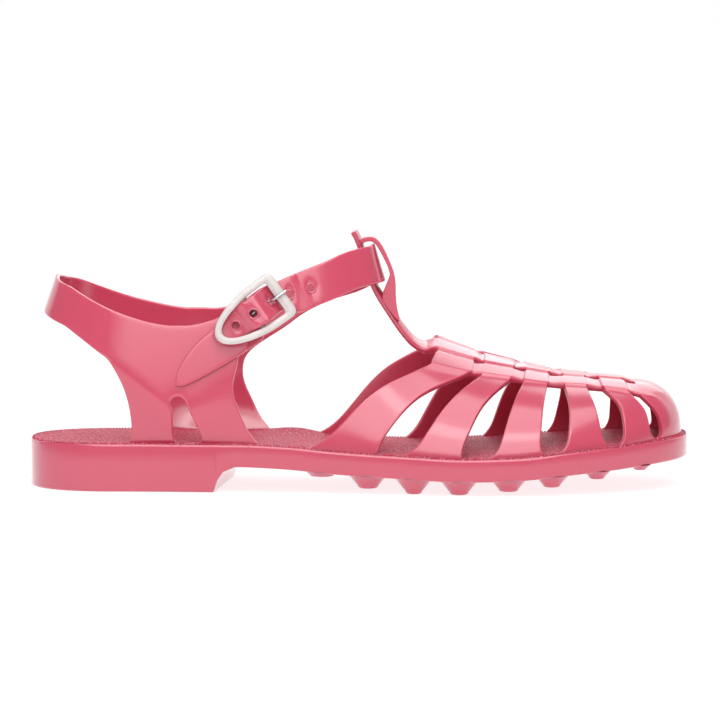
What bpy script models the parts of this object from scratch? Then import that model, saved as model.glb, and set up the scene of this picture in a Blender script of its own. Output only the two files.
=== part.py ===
"""Jelly sandal, right shoe: sole, insole, woven vamp, quarter with ankle strap, buckle frame and prong.

Metres, +Z up. +X points to the toe and +Y to the inner side of the foot.
The origin is on the floor, under the middle of the sole.
"""

import bpy
import bmesh
import math
import numpy as np
from mathutils import Vector
from mathutils.kdtree import KDTree

# Overall sizes
LENGTH = 0.258
BALL_WIDTH = 0.092
INSTEP_HEIGHT = 0.0555
BACK_HEIGHT = 0.0826
HEEL_LIFT = 0.0098
LUG_HEIGHT = 0.0054
TOE_LIFT = 0.0114
SOLE_SIDE = 0.0088
HALF = LENGTH / 2

# Sole
HEEL_ROUND = 0.034
HEEL_POWER = 2.2
TOE_ROUND = 0.062
TOE_POWER = 2.3
BREAST_START = 0.294
BREAST_RUN = 0.008
BREAST_SKEW = 0.005
SKEW_REACH = 0.12
SKEW_FADE = 0.1
EDGE_ROUND = 0.0012
MARGIN = 0.0046
RECESS = 0.0014
LUG_SLOPE = 0.74
LUG_ROOT = 0.0012
LUG_RIM = 0.0009
LUG_SIDES = 12
LUGS_IN_ROW = 3

# Insole
INSOLE_FIT = 0.0003
ARCH_RISE = 0.0018
ARCH_ALONG = 0.403
ARCH_RUN = 0.045
ARCH_SIDE = 0.2
INSOLE_SHARES = (0.0, 0.3, 0.6, 0.85, 1.0)

# Upper
WALL = 0.0020
WEAVE = 0.0009
ROOT_GAP = 0.0003
FOOT_SINK = 0.0006
EDGE_INSET = 0.0022
STRAND_STEP = 0.0005
RIDGE_SHIFT = 0.003
BAR_ROLL = 0.0013
BAR_CROWN = 0.0012
SHOULDER = 0.96
HALF_WAY = 0.6
FLARE_TOP = 0.2
CAP_FULLNESS = 2.4
LOW_LIMIT = 0.85
CAP_SWEEP = 1.7
CAP_EASE = 1.15
TBAR_WIDTH = 0.0100
KEEPER_WIDTH = 0.0098

# Quarter and ankle strap
QUARTER_WALL = 0.0018
ANKLE_WIDTH = 0.055
ANKLE_REF = 0.065
ANKLE_FRONT = 0.014
ANKLE_BACK = -0.1239
ANKLE_POWER = 2.3
ANKLE_MIDDLES = {"front": 0.33, "centre": 0.27, "back": 0.21}
WRAP_STEP = 0.0015
BACK_LEAN = 0.35
SIDE_LEAN = 0.17
FRONT_LEAN = 0.30
INNER_RISE = 0.0037
INNER_ADVANCE = 0.0045
INNER_FEET = (0.003, 0.005)
STRAP_WIDTH = 0.0147
STRAP_TIP_WIDTH = 0.0114
HOLE_DIAMETER = 0.0028
HOLE_PITCH = 0.0090
LEG_BULGE = 0.0015

# Buckle
BUCKLE_X = -0.0400
BUCKLE_Z = 0.0692
BUCKLE_TILT = math.radians(35)
FRAME_LENGTH = 0.031
FRAME_WIDTH = 0.0195
FRAME_THICK = 0.0026
RAIL = 0.0029
FRAME_RAMP = 0.35
FRONT_BAR = 0.0040
BAR_RADIUS = 0.0010
BAR_TO_FRONT = 0.0140
PRONG_RADIUS = 0.0006
TAB_WALL = 0.0016
FIT = 0.0003
PRONG_FIT = 0.0005
SLOT_WIDTH = 0.0022
SLOT_FRONT = -0.0045
SLOT_REAR = 0.0036
FRAME_ROUND = 0.0245
POST_SHARE = 0.4
BAR_LEVEL = 0.0030
STRAP_LIFT = 0.0010
PRONG_HOLE = 0.52
HOLE_NUMBERS = (-2, -1, 0, 1, 2)
HOLE_REACH = 0.0022
ROD_SIDES = 10
MERGE = 0.000005

# Sole outline, half widths as shares of the ball width at shares of the length from the heel
OUTLINE = {
    "along": (0.00, 0.15, 0.30, 0.42, 0.55, 0.64, 0.70, 0.75, 0.85, 1.00),
    "outer": (0.330, 0.330, 0.355, 0.390, 0.450, 0.490, 0.500, 0.492, 0.440, 0.360),
    "inner": (0.330, 0.325, 0.300, 0.275, 0.330, 0.430, 0.492, 0.500, 0.480, 0.460),
}

# Underside height: shares of the heel's lift and of the toe's lift over the lugs' height
UNDERSIDE = {
    "along": (0.00, 0.33, 0.39, 0.47, 0.58, 0.65, 0.73, 0.81, 0.88, 0.94, 1.00),
    "heel": (1.00, 1.00, 0.87, 0.47, 0.16, 0.00, 0.00, 0.00, 0.00, 0.00, 0.00),
    "toe": (0.00, 0.00, 0.00, 0.00, 0.00, 0.00, 0.08, 0.37, 0.60, 0.82, 1.00),
}

# Heel breast: shares of its run and of the heel's lift
BREAST = {"run": (0.00, 0.18, 0.45, 1.00), "lift": (0.00, 0.47, 0.80, 1.00)}

# Rows of lugs: place along the length, top diameter as a share of the ball width, reach as a share of
# the underside's height over the floor
LUGS = (
    {"along": 0.446, "top": 0.120, "reach": 0.20},
    {"along": 0.515, "top": 0.151, "reach": 0.73},
    {"along": 0.583, "top": 0.151, "reach": 1.00},
    {"along": 0.650, "top": 0.151, "reach": 1.00},
    {"along": 0.723, "top": 0.139, "reach": 0.76},
    {"along": 0.787, "top": 0.125, "reach": 0.59},
    {"along": 0.855, "top": 0.099, "reach": 0.34},
    {"along": 0.921, "top": 0.070, "reach": 0.16},
)

# Ridge of the vamp: height as a share of the instep height, crest as a share of the ball width toward
# the inner side, and the squareness of its section
RIDGE = {
    "along": (0.42, 0.50, 0.535, 0.569, 0.597, 0.622, 0.645, 0.678, 0.744, 0.802, 0.843, 0.909, 1.00),
    "height": (1.80, 1.56, 1.36, 1.17, 1.08, 1.020, 0.980, 0.925, 0.850, 0.795, 0.775, 0.744, 0.70),
    "crest": (0.152, 0.152, 0.152, 0.152, 0.152, 0.152, 0.141, 0.130, 0.109, 0.087, 0.071, 0.049, 0.033),
    "square": (1.60, 1.60, 1.60, 1.60, 1.60, 1.60, 1.60, 1.62, 1.70, 1.80, 1.90, 2.10, 2.20),
}

# Strap edges as shares of the length: at the sole, half way up, at the strand and on the ridge
STRAPS = (
    {"rear": (0.435, 0.539, 0.609, 0.620), "front": (0.520, 0.587, 0.668, 0.676), "inner": 0.000},
    {"rear": (0.577, 0.631, 0.684, 0.690), "front": (0.646, 0.683, 0.729, 0.735), "inner": 0.000},
    {"rear": (0.703, 0.727, 0.748, 0.753), "front": (0.767, 0.775, 0.784, 0.788), "inner": -0.004},
    {"rear": (0.807, 0.814, 0.809, 0.807), "front": (0.863, 0.854, 0.843, 0.841), "inner": -0.008},
    {"rear": (0.895, 0.891, 0.866, 0.860), "front": (0.935, 0.928, 0.904, 0.897), "inner": -0.008},
)
CAP_REAR = (0.953, 0.948, 0.922, 0.914)
CAP_STEPS = (0.14, 0.34, 0.56, 0.76, 0.90, 1.00)
FLARE = 0.0024

# Rows of the vamp: shares of the way from the sole up to the strand, and the strands' edges across
SIDE_ROWS = (0.00, 0.07, 0.20, 0.42, 0.66, 0.88)
STRAND_EDGES = {"low": 0.175, "high": 0.090, "bar": 0.049}

# T-bar above the vamp: shares of the length and of the back height
TBAR = {
    "along": (0.606, 0.586, 0.566, 0.545, 0.529, 0.519, 0.510, 0.502, 0.4945, 0.491),
    "shift": (1.00, 0.95, 0.80, 0.60, 0.42, 0.30, 0.22, 0.20, 0.20, 0.20),
    "height": (0.636, 0.670, 0.740, 0.835, 0.912, 0.975, 1.053, 1.132, 1.189, 1.206),
}

# Keeper outline beside the T-bar: shares of the length and of the back height
KEEPER = {
    "along": (0.5605, 0.562, 0.556, 0.5555, 0.5475, 0.534, 0.522, 0.508, 0.4990,
              0.5020, 0.510, 0.5200, 0.5285, 0.5480, 0.5435, 0.5325, 0.5435),
    "height": (0.770, 0.788, 0.855, 0.985, 1.055, 1.145, 1.180, 1.176, 1.160,
               1.140, 1.154, 1.157, 1.130, 1.010, 0.968, 0.890, 0.838),
}

# Heel band and quarter: place along the length, top and bottom as shares of the back height
BAND = (
    {"along": 0.3217, "top": 0.860, "bottom": 0.600, "advance": 0.0, "rise": 0.0},
    {"along": 0.2830, "top": 0.800, "bottom": 0.510, "advance": 0.5, "rise": 0.5},
    {"along": 0.2450, "top": 0.775, "bottom": 0.436, "advance": 1.0, "rise": 1.0},
    {"along": 0.2180, "top": 0.775, "bottom": 0.436, "advance": 0.8, "rise": 1.0},
    {"along": 0.1750, "top": 0.800, "bottom": 0.530, "advance": 0.6, "rise": 1.0},
    {"along": 0.1300, "top": 0.848, "bottom": 0.615, "advance": 0.4, "rise": 0.8},
    {"along": 0.0900, "top": 0.905, "bottom": 0.705, "advance": 0.2, "rise": 0.6},
    {"along": 0.0620, "top": 0.950, "bottom": 0.765, "advance": 0.0, "rise": 0.4},
)
BACK_BOTTOM = 0.832
BACK_TURNS = (0.35, 0.65, 1.0)

# Leg edges as shares of the length, by height above the sole
LEGS = {
    "height": (1.00, 0.70, 0.40, 0.15, 0.00),
    "front_leg_front": (0.3217, 0.3128, 0.3244, 0.3372, 0.3520),
    "front_leg_rear": (0.2423, 0.2523, 0.2612, 0.2665, 0.2660),
    "rear_leg_front": (0.2229, 0.2233, 0.2236, 0.2248, 0.2290),
    "rear_leg_rear": (0.1291, 0.1500, 0.1600, 0.1625, 0.1570),
}

# Ankle strap from the inner quarter to the front: place, middle height and width as shares
STRAP_INNER = (
    {"along": 0.362, "middle": 0.815, "width": 1.28},
    {"along": 0.405, "middle": 0.885, "width": 1.05},
    {"along": 0.450, "middle": 0.945, "width": 1.00},
    {"along": 0.495, "middle": 0.990, "width": 1.00},
    {"along": 0.527, "middle": 1.030, "width": 1.00},
)
STRAP_FRONT = 1.055
STRAP_OUTER = (
    {"along": 0.527, "middle": 1.045, "width": 1.00},
    {"along": 0.497, "middle": 1.028, "width": 1.00},
    {"along": 0.462, "middle": 0.985, "width": 1.00},
    {"along": 0.427, "middle": 0.945, "width": 1.00},
)

# Strap through the buckle: place as a share of the way from the bar to the front bar or to the far end,
# shift across in strap widths, height as a share of the named level, and width in tip widths
STRAP_STACK = (
    {"place": -1.321, "shift": -0.270, "level": "strap_front", "share": 0.30, "width": 1.320},
    {"place": -1.071, "shift": -0.150, "level": "strap_front", "share": 0.80, "width": 1.180},
    {"place": -0.821, "shift": -0.035, "level": "strap_front", "share": 1.00, "width": 1.000},
    {"place": -0.679, "shift": 0.000, "level": "strap_front", "share": 1.00, "width": 1.000},
    {"place": -0.420, "shift": 0.000, "level": "hump", "share": 0.60, "width": 1.000},
    {"place": -0.214, "shift": 0.000, "level": "hump", "share": 1.00, "width": 1.000},
    {"place": 0.071, "shift": 0.000, "level": "hump", "share": 1.00, "width": 0.990},
    {"place": 0.350, "shift": 0.000, "level": "hump", "share": 0.62, "width": 0.920},
    {"place": 0.520, "shift": 0.000, "level": "strap_end", "share": 1.04, "width": 0.900},
    {"place": 0.750, "shift": 0.000, "level": "strap_end", "share": 1.00, "width": 0.830},
    {"place": 0.871, "shift": 0.000, "level": "strap_end", "share": 1.00, "width": 0.730},
    {"place": 0.982, "shift": 0.000, "level": "strap_end", "share": 1.00, "width": 0.570},
    {"place": 1.053, "shift": 0.000, "level": "strap_end", "share": 1.00, "width": 0.330},
)

# Tab before and after its loop: place in frame lengths, height as a share of its end's level, and its
# lower and upper edge in strap widths
TAB_ROOT = (
    {"place": 0.403, "share": 0.00, "low": -0.715, "high": 0.272},
    {"place": 0.194, "share": 0.05, "low": -0.735, "high": 0.306},
    {"place": 0.071, "share": 0.20, "low": -0.740, "high": 0.340},
    {"place": 0.039, "share": 0.30, "low": -0.388, "high": 0.388},
)
TAB_TONGUE = (
    {"place": 0.161, "share": 1.35, "low": -0.388, "high": 0.388},
    {"place": 0.252, "share": 1.06, "low": -0.388, "high": 0.388},
    {"place": 0.303, "share": 1.00, "low": -0.715, "high": 0.272},
    {"place": 0.419, "share": 1.00, "low": -0.710, "high": 0.272},
    {"place": 0.645, "share": 1.00, "low": -0.680, "high": 0.245},
    {"place": 0.839, "share": 1.00, "low": -0.640, "high": 0.190},
    {"place": 1.000, "share": 1.00, "low": -0.600, "high": 0.095},
    {"place": 1.129, "share": 1.00, "low": -0.560, "high": -0.041},
    {"place": 1.226, "share": 1.00, "low": -0.520, "high": -0.177},
    {"place": 1.284, "share": 1.00, "low": -0.430, "high": -0.290},
)

# Prong: angles round its eye, its rise through the strap as shares of the way to the front bar and of the
# strap's hump, and where it rests on the front bar
PRONG_EYE = (200, 160, 120, 80, 40, 0, -40, -80, -110, -140)
PRONG_RISE = (
    {"place": 0.40, "height": 0.22},
    {"place": 0.50, "height": 0.36},
    {"place": 0.60, "height": 0.66},
)
PRONG_REST = (0.70, 1.03)

FINISHES = {
    "moulded PVC": {"Base Color": (0.78, 0.16, 0.23, 1.0), "Roughness": 0.25},
    "grained PVC": {"Base Color": (0.84, 0.27, 0.35, 1.0), "Roughness": 0.4},
    "milky plastic": {"Base Color": (0.84, 0.81, 0.79, 1.0), "Roughness": 0.2, "Transmission Weight": 0.3},
    "steel wire": {"Base Color": (0.62, 0.62, 0.64, 1.0), "Roughness": 0.3, "Metallic": 1.0},
}


def clear_scene():
    for item in list(bpy.data.objects):
        bpy.data.objects.remove(item, do_unlink=True)


def new_collection(name):
    collection = bpy.data.collections.new(name)
    bpy.context.scene.collection.children.link(collection)
    return collection


def make_material(name):
    material = bpy.data.materials.new(name)
    material.use_nodes = True
    shader = material.node_tree.nodes["Principled BSDF"]
    for key, value in FINISHES[name].items():
        shader.inputs[key].default_value = value
    return material


def mesh_object(name, points, faces, collection, material=None):
    """Make an object from points and faces, with doubled points merged."""
    mesh = bpy.data.meshes.new(name)
    shape = bmesh.new()
    corners = [shape.verts.new(point) for point in points]
    for face in faces:
        ring = [corners[index] for index in dict.fromkeys(face)]
        if len(ring) > 2:
            shape.faces.new(ring)
    loose = [corner for corner in shape.verts if not corner.link_faces]
    bmesh.ops.delete(shape, geom=loose, context="VERTS")
    bmesh.ops.remove_doubles(shape, verts=shape.verts, dist=MERGE)
    shape.to_mesh(mesh)
    shape.free()
    item = bpy.data.objects.new(name, mesh)
    collection.objects.link(item)
    if material:
        mesh.materials.append(material)
    return item


def face_outward(item):
    """Turn the faces of a closed mesh outward and split them into triangles."""
    shape = bmesh.new()
    shape.from_mesh(item.data)
    bmesh.ops.recalc_face_normals(shape, faces=shape.faces)
    bmesh.ops.triangulate(shape, faces=shape.faces)
    shape.to_mesh(item.data)
    shape.free()


def smooth(x, xs, ys):
    """Read a smooth curve through (xs, ys) that doesn't overshoot its points."""
    xs, ys, x = np.asarray(xs, float), np.asarray(ys, float), np.asarray(x, float)
    step = np.diff(xs)
    slope = np.diff(ys) / step
    product = slope[:-1] * slope[1:]
    total = np.abs(slope[:-1]) + np.abs(slope[1:])
    middle = np.where(product > 0, 2 * product / np.where(total > 0, total, 1), 0) * np.sign(slope[:-1])
    tangent = np.concatenate(([slope[0]], middle, [slope[-1]]))
    x = np.clip(x, xs[0], xs[-1])
    index = np.clip(np.searchsorted(xs, x) - 1, 0, len(step) - 1)
    t = (x - xs[index]) / step[index]
    return (ys[index] * (1 + 2 * t) * (1 - t) ** 2 + ys[index + 1] * t * t * (3 - 2 * t)
            + step[index] * (tangent[index] * t * (1 - t) ** 2 - tangent[index + 1] * t * t * (1 - t)))


def to_x(along):
    return np.asarray(along) * LENGTH - HALF


def to_along(x):
    return (np.asarray(x) + HALF) / LENGTH


def end_rounding(along):
    """Share of the width that is left where the outline rounds off at the heel and at the toe."""
    from_heel = np.clip(1 - np.asarray(along) * LENGTH / HEEL_ROUND, 0, 1)
    from_toe = np.clip(1 - (1 - np.asarray(along)) * LENGTH / TOE_ROUND, 0, 1)
    return (1 - from_heel ** HEEL_POWER) ** (1 / HEEL_POWER) * (1 - from_toe ** TOE_POWER) ** (1 / TOE_POWER)


def sole_edge(along, side):
    """Y of the sole's edge; side is -1 for the outer edge and +1 for the inner edge."""
    outer = smooth(along, OUTLINE["along"], OUTLINE["outer"])
    inner = smooth(along, OUTLINE["along"], OUTLINE["inner"])
    middle = (inner - outer) / 2
    return BALL_WIDTH * (middle + side * (inner + outer) / 2 * end_rounding(along))


def underside(along):
    heel = smooth(along, UNDERSIDE["along"], UNDERSIDE["heel"])
    toe = smooth(along, UNDERSIDE["along"], UNDERSIDE["toe"])
    return LUG_HEIGHT + heel * (HEEL_LIFT - LUG_HEIGHT) + toe * (TOE_LIFT - LUG_HEIGHT)


def sole_top(along):
    return underside(along) + SOLE_SIDE


def breast_height(along):
    """Height of the bottom face: on the floor under the heel, then up the breast to the underside."""
    run = (np.asarray(along) - BREAST_START) * LENGTH / BREAST_RUN
    lift = np.interp(run, BREAST["run"], BREAST["lift"])
    return lift * underside(along)


def stations():
    """Places along the sole, close together where the outline turns."""
    heel = BREAST_START * (1 - np.cos(np.linspace(0, math.pi / 2, 11)))
    breast = BREAST_START + np.array(BREAST["run"][1:]) * BREAST_RUN / LENGTH
    front = breast[-1] + (1 - breast[-1]) * np.sin(np.linspace(0, math.pi / 2, 25)[1:])
    return np.concatenate((heel, breast, front))


def plan_loop(inset):
    """Outer and inner edge of the sole in plan, moved in by inset, each from heel to toe."""
    along = stations()
    skew = BREAST_SKEW / 2 / LENGTH * np.exp(-((along - BREAST_START) / SKEW_REACH) ** 2)
    skew *= np.sin(np.clip(along / SKEW_FADE, 0, 1) * math.pi / 2)
    edges = []
    for side in (-1, 1):
        place = along + side * skew
        edges.append(np.stack((to_x(place), sole_edge(place, side)), axis=1))
    loop = np.concatenate((edges[0], edges[1][-2:0:-1]))
    ahead = np.roll(loop, -1, axis=0) - np.roll(loop, 1, axis=0)
    ahead /= np.linalg.norm(ahead, axis=1)[:, None]
    loop = loop + inset * np.stack((-ahead[:, 1], ahead[:, 0]), axis=1)
    count = len(along)
    outer = loop[:count]
    inner = np.concatenate((loop[:1], loop[count:][::-1], loop[count - 1:count]))
    return outer, inner


def full_loop(inset):
    """A closed loop in plan: along the outer edge to the toe, then back along the inner edge."""
    outer, inner = plan_loop(inset)
    return np.concatenate((outer, inner[-2:0:-1]))


def top_ring(inset, offset):
    """A ring on the sole's top face, offset up."""
    loop = full_loop(inset)
    return np.column_stack((loop, sole_top(to_along(loop[:, 0])) + offset))


def bottom_ring(inset, offset):
    """A ring on the bottom face, with its heights taken at the stations so that the breast stays sharp."""
    level = breast_height(stations()) + offset
    return np.column_stack((full_loop(inset), np.concatenate((level, level[-2:0:-1]))))


def stack_rings(rings, across_first, across_last):
    """Faces of a solid made of rings, closed at each end by strips laid across the first and last."""
    count = len(rings[0])
    last = (len(rings) - 1) * count
    faces = []
    for level in range(len(rings) - 1):
        base = level * count
        for k in range(count):
            n = (k + 1) % count
            faces.append((base + k, base + n, base + count + n, base + count + k))
    half = count // 2
    for start, wanted in ((0, across_first), (last, across_last)):
        if wanted:
            for k in range(half):
                opposite = start + (count - k) % count
                faces.append((start + k, start + k + 1, start + (count - k - 1) % count, opposite))
    return faces


def make_sole(collection, cutters, material):
    rings = [
        bottom_ring(EDGE_ROUND, 0),
        bottom_ring(0, EDGE_ROUND),
        top_ring(0, -EDGE_ROUND / 2),
        top_ring(EDGE_ROUND / 2, 0),
        top_ring(MARGIN, 0),
        top_ring(MARGIN, -RECESS),
    ]
    sole = mesh_object("sole", np.concatenate(rings), stack_rings(rings, True, True), collection, material)
    face_outward(sole)
    lugs = make_lugs(cutters)
    join(sole, lugs, "UNION")
    return sole


def make_foot_trim(cutters):
    """Slab over the sole that trims the feet of the upper to stand just clear of it."""
    beyond = -WALL
    rings = [top_ring(beyond, -SOLE_SIDE), top_ring(beyond, ROOT_GAP)]
    trim = mesh_object("foot_trim", np.concatenate(rings), stack_rings(rings, True, True), cutters)
    face_outward(trim)
    return trim


def lug_profile(radius, depth):
    """Radius and depth of a lug with a rounded end, from its root inside the sole to its tip."""
    tip = radius - depth * LUG_SLOPE
    rim = min(LUG_RIM, depth / 3)
    return (
        (radius + LUG_ROOT * LUG_SLOPE, -LUG_ROOT),
        (tip + rim * LUG_SLOPE, depth - rim),
        (max(tip - rim / 2, radius / 5), depth),
    )


def make_lugs(cutters):
    """Truncated cones in rows across the forefoot, each row tangent to both edges of the sole."""
    points, faces, sides = [], [], LUG_SIDES
    for row in LUGS:
        along = row["along"]
        radius = row["top"] * BALL_WIDTH / 2
        depth = float(underside(along)) * row["reach"]
        level = float(underside(along))
        inset = radius + LUG_ROOT * LUG_SLOPE + EDGE_ROUND / 4
        outer = float(sole_edge(along, -1)) + inset
        inner = float(sole_edge(along, 1)) - inset
        for y in np.linspace(outer, inner, LUGS_IN_ROW):
            start = len(points)
            for ring_radius, drop in lug_profile(radius, depth):
                for k in range(sides):
                    turn = 2 * math.pi * (k + 0.5) / sides
                    points.append((float(to_x(along)) + ring_radius * math.cos(turn),
                                   y + ring_radius * math.sin(turn), level - drop))
            faces.append([start + k for k in range(sides)])
            faces.append([start + 2 * sides + k for k in range(sides)][::-1])
            for level_step in range(2):
                base = start + level_step * sides
                for k in range(sides):
                    n = (k + 1) % sides
                    faces.append((base + k, base + sides + k, base + sides + n, base + n))
    lugs = mesh_object("lugs", points, faces, cutters)
    face_outward(lugs)
    return lugs


def join(item, other, operation):
    """Boolean on item with other as a hidden wire object."""
    other.hide_render = True
    other.display_type = "WIRE"
    step = item.modifiers.new(f"{operation.title()} {other.name}", "BOOLEAN")
    step.operation = operation
    step.object = other
    step.solver = "EXACT"


def arch_bump(x, y):
    """Rise of the footbed under the arch, along the inner edge."""
    middle = to_x(ARCH_ALONG)
    edge = sole_edge(to_along(x), 1) - MARGIN
    near = np.clip(1 - (edge - y) / (BALL_WIDTH * ARCH_SIDE), 0, 1)
    return ARCH_RISE * np.exp(-((x - middle) / (LENGTH * ARCH_RUN)) ** 2) * near ** 2


def make_insole(collection, material):
    """Footbed between its rim in the sole's recess and its top, level with the sole's margin."""
    outer, inner = plan_loop(MARGIN + INSOLE_FIT)
    shares = np.array(INSOLE_SHARES)
    top = outer[:, None] + (inner - outer)[:, None] * shares[None, :, None]
    base = sole_top(to_along(top[..., 0]))
    rise = arch_bump(top[..., 0], top[..., 1])
    upper = np.dstack((top, base + rise))
    lower = np.dstack((top, base - RECESS + INSOLE_FIT))
    rows, columns = upper.shape[:2]
    points = np.concatenate((upper.reshape(-1, 3), lower.reshape(-1, 3)))
    under = rows * columns
    faces = []
    for r in range(rows - 1):
        for c in range(columns - 1):
            a = r * columns + c
            faces.append((a, a + columns, a + columns + 1, a + 1))
            faces.append((under + a, under + a + 1, under + a + columns + 1, under + a + columns))
        for c in (0, columns - 1):
            a = r * columns + c
            faces.append((a, under + a, under + a + columns, a + columns))
    insole = mesh_object("insole", points, faces, collection, material)
    face_outward(insole)
    return insole


def inset_edge(x, side, inset):
    """Y at x of a line that runs at a fixed distance inside the sole's edge."""
    along = (1 - np.cos(np.linspace(0, math.pi, 300))) / 2
    line = np.stack((to_x(along), sole_edge(along, side)), axis=1)
    ahead = np.gradient(line, axis=0)
    ahead /= np.linalg.norm(ahead, axis=1)[:, None]
    line -= side * inset * np.stack((-ahead[:, 1], ahead[:, 0]), axis=1)
    return np.interp(x, line[:, 0], line[:, 1])


def section(x, row_angle, row_cross, is_strand):
    """Point on the vamp's inner surface at x, on a side row by angle or on a strand row by offset."""
    along = to_along(x)
    base = sole_top(along) - FOOT_SINK
    height = smooth(along, RIDGE["along"], RIDGE["height"]) * INSTEP_HEIGHT - WALL - base
    power = smooth(along, RIDGE["along"], RIDGE["square"])
    crest = smooth(along, RIDGE["along"], RIDGE["crest"]) * BALL_WIDTH
    side = np.where(row_cross < 0, -1.0, 1.0)
    inset = EDGE_INSET + WALL
    edge = np.where(row_cross < 0, inset_edge(x, -1, inset), inset_edge(x, 1, inset))
    start = RIDGE_SHIFT + side * STRAND_EDGES["low"] * BALL_WIDTH
    low = np.minimum((start - crest) / (edge - crest), LOW_LIMIT)
    angle = row_angle * np.arccos(low ** (power / 2))
    on_strand = RIDGE_SHIFT + row_cross * BALL_WIDTH
    y = np.where(is_strand, on_strand, crest + (edge - crest) * np.cos(angle) ** (2 / power))
    end = np.where(on_strand < crest, inset_edge(x, -1, inset), inset_edge(x, 1, inset))
    cross = np.minimum(np.abs((on_strand - crest) / (end - crest)), LOW_LIMIT)
    rise = np.where(is_strand, (1 - cross ** power) ** (1 / power), np.sin(angle) ** (2 / power))
    return np.stack(np.broadcast_arrays(x, y, base + height * rise), axis=-1)


def vamp_rows():
    """Rows across the vamp, outer edge to inner edge, with the strands' steps.

    Each row is (angle share, offset across, is a strand row, strand number or -1, inside the strand).
    """
    low, high, bar = (STRAND_EDGES[key] for key in ("low", "high", "bar"))
    step = STRAND_STEP / BALL_WIDTH
    half = [(share, -1.0, False, -1, False) for share in SIDE_ROWS]
    half[-1] = (SHOULDER, -1.0, False, 0, False)
    half += [(1.0, -low, True, 0, True), (1.0, -high, True, 0, True),
             (1.0, -high + step, True, 0, False), (1.0, -bar - step, True, 1, False),
             (1.0, -bar, True, 1, True)]
    mirrored = [(a, -c, s, 2 if n == 0 else n, i) for a, c, s, n, i in half[::-1]]
    return half + [(1.0, 0.0, True, 1, True)] + mirrored


def column_x(places, shift, rows):
    """X of a strap's edge on each row, from its places at the sole, half way up, strand and ridge."""
    values = []
    for angle, cross, is_strand, *_ in rows:
        offset = shift * (1 - angle) if cross > 0 else 0
        if is_strand:
            share = 1 - abs(cross) / STRAND_EDGES["low"]
            place = places[2] + (places[3] - places[2]) * share
        else:
            place = smooth(angle, (0, HALF_WAY, 1), places[:3]) + offset
        values.append(float(to_x(place)))
    return np.array(values)


def vamp_grid():
    """Points, solid cells and raised points of the vamp's inner surface."""
    rows = vamp_rows()
    angle = np.array([row[0] for row in rows])
    cross = np.array([row[1] for row in rows])
    is_strand = np.array([row[2] for row in rows])
    strand = np.array([row[3] for row in rows])
    in_strand = np.array([row[4] for row in rows])
    flare = FLARE * np.clip(1 - angle / FLARE_TOP, 0, 1) ** 2 * ~is_strand
    columns, strap_of, in_strap = [], [], []
    for number, strap in enumerate(STRAPS):
        rear = column_x(strap["rear"], strap["inner"], rows) - flare
        front = column_x(strap["front"], strap["inner"], rows) + flare
        columns += [rear - STRAND_STEP, rear, front, front + STRAND_STEP]
        strap_of += [number] * 4
        in_strap += [False, True, True, False]
    cap = column_x(CAP_REAR, 0, rows) - flare
    columns.append(cap)
    strap_of.append(len(STRAPS))
    in_strap.append(True)
    grid = [section(x, angle, cross, is_strand) for x in columns]
    grid += cap_columns(grid[-1])
    strap_of += [len(STRAPS)] * len(CAP_STEPS)
    in_strap += [True] * len(CAP_STEPS)
    points = np.array(grid)
    strap_of, in_strap = np.array(strap_of), np.array(in_strap)
    cells = ((in_strap[:-1] & in_strap[1:] & (strap_of[:-1] == strap_of[1:]))[:, None]
             | (in_strand[:-1] & in_strand[1:] & (strand[:-1] == strand[1:]))[None, :])
    over = (strap_of[:, None] + strand[None, :]) % 2 == 1
    crossing = (strand[None, :] >= 0) & (strap_of[:, None] < len(STRAPS))
    raised = crossing & ((over & in_strand[None, :]) | (~over & in_strap[:, None]))
    return points, cells, raised, strand


def cap_columns(rear):
    """Toe cap: from its rear edge forward and down to the sole on a superellipse."""
    inset = EDGE_INSET + WALL
    turn = np.linspace(-1, 1, len(rear))
    tip = HALF - inset
    x = tip - (tip - rear[0, 0]) * np.abs(turn) ** CAP_SWEEP
    y = np.where(turn < 0, inset_edge(x, -1, inset), inset_edge(x, 1, inset))
    foot = np.stack((x, y), axis=1)
    foot[len(rear) // 2, 1] = (inset_edge(tip, -1, inset) + inset_edge(tip, 1, inset)) / 2
    foot[0], foot[-1] = rear[0, :2], rear[-1, :2]
    base = sole_top(to_along(foot[:, 0])) - FOOT_SINK
    result = []
    for step in CAP_STEPS:
        reach = 1 - (1 - step) ** CAP_EASE
        plan = rear[:, :2] + (foot - rear[:, :2]) * reach
        drop = (1 - reach ** CAP_FULLNESS) ** (1 / CAP_FULLNESS)
        result.append(np.column_stack((plan, base + (rear[:, 2] - base) * drop)))
    return result


def tbar_columns(first, strand):
    """Columns of the T-bar on the middle strand's rows, from the tab down to the vamp."""
    rows = np.flatnonzero(strand == 1)
    along = np.array(TBAR["along"])
    x = to_x(along)
    z = np.array(TBAR["height"]) * BACK_HEIGHT
    result = []
    for number in range(len(along))[::-1]:
        column = first.copy()
        blend = min(1.0, (number + 1) / 3)
        for row in rows:
            across = (first[row, 1] - RIDGE_SHIFT) / (STRAND_EDGES["bar"] * BALL_WIDTH)
            crown = BAR_CROWN * across * across
            middle = RIDGE_SHIFT * TBAR["shift"][number]
            roll = BAR_ROLL * across * max(0.0, 1 - number / 6)
            column[row] = (x[number] - crown, middle + across * TBAR_WIDTH / 2,
                           z[number] - crown * blend + roll)
        result.append(column)
    return result


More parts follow.
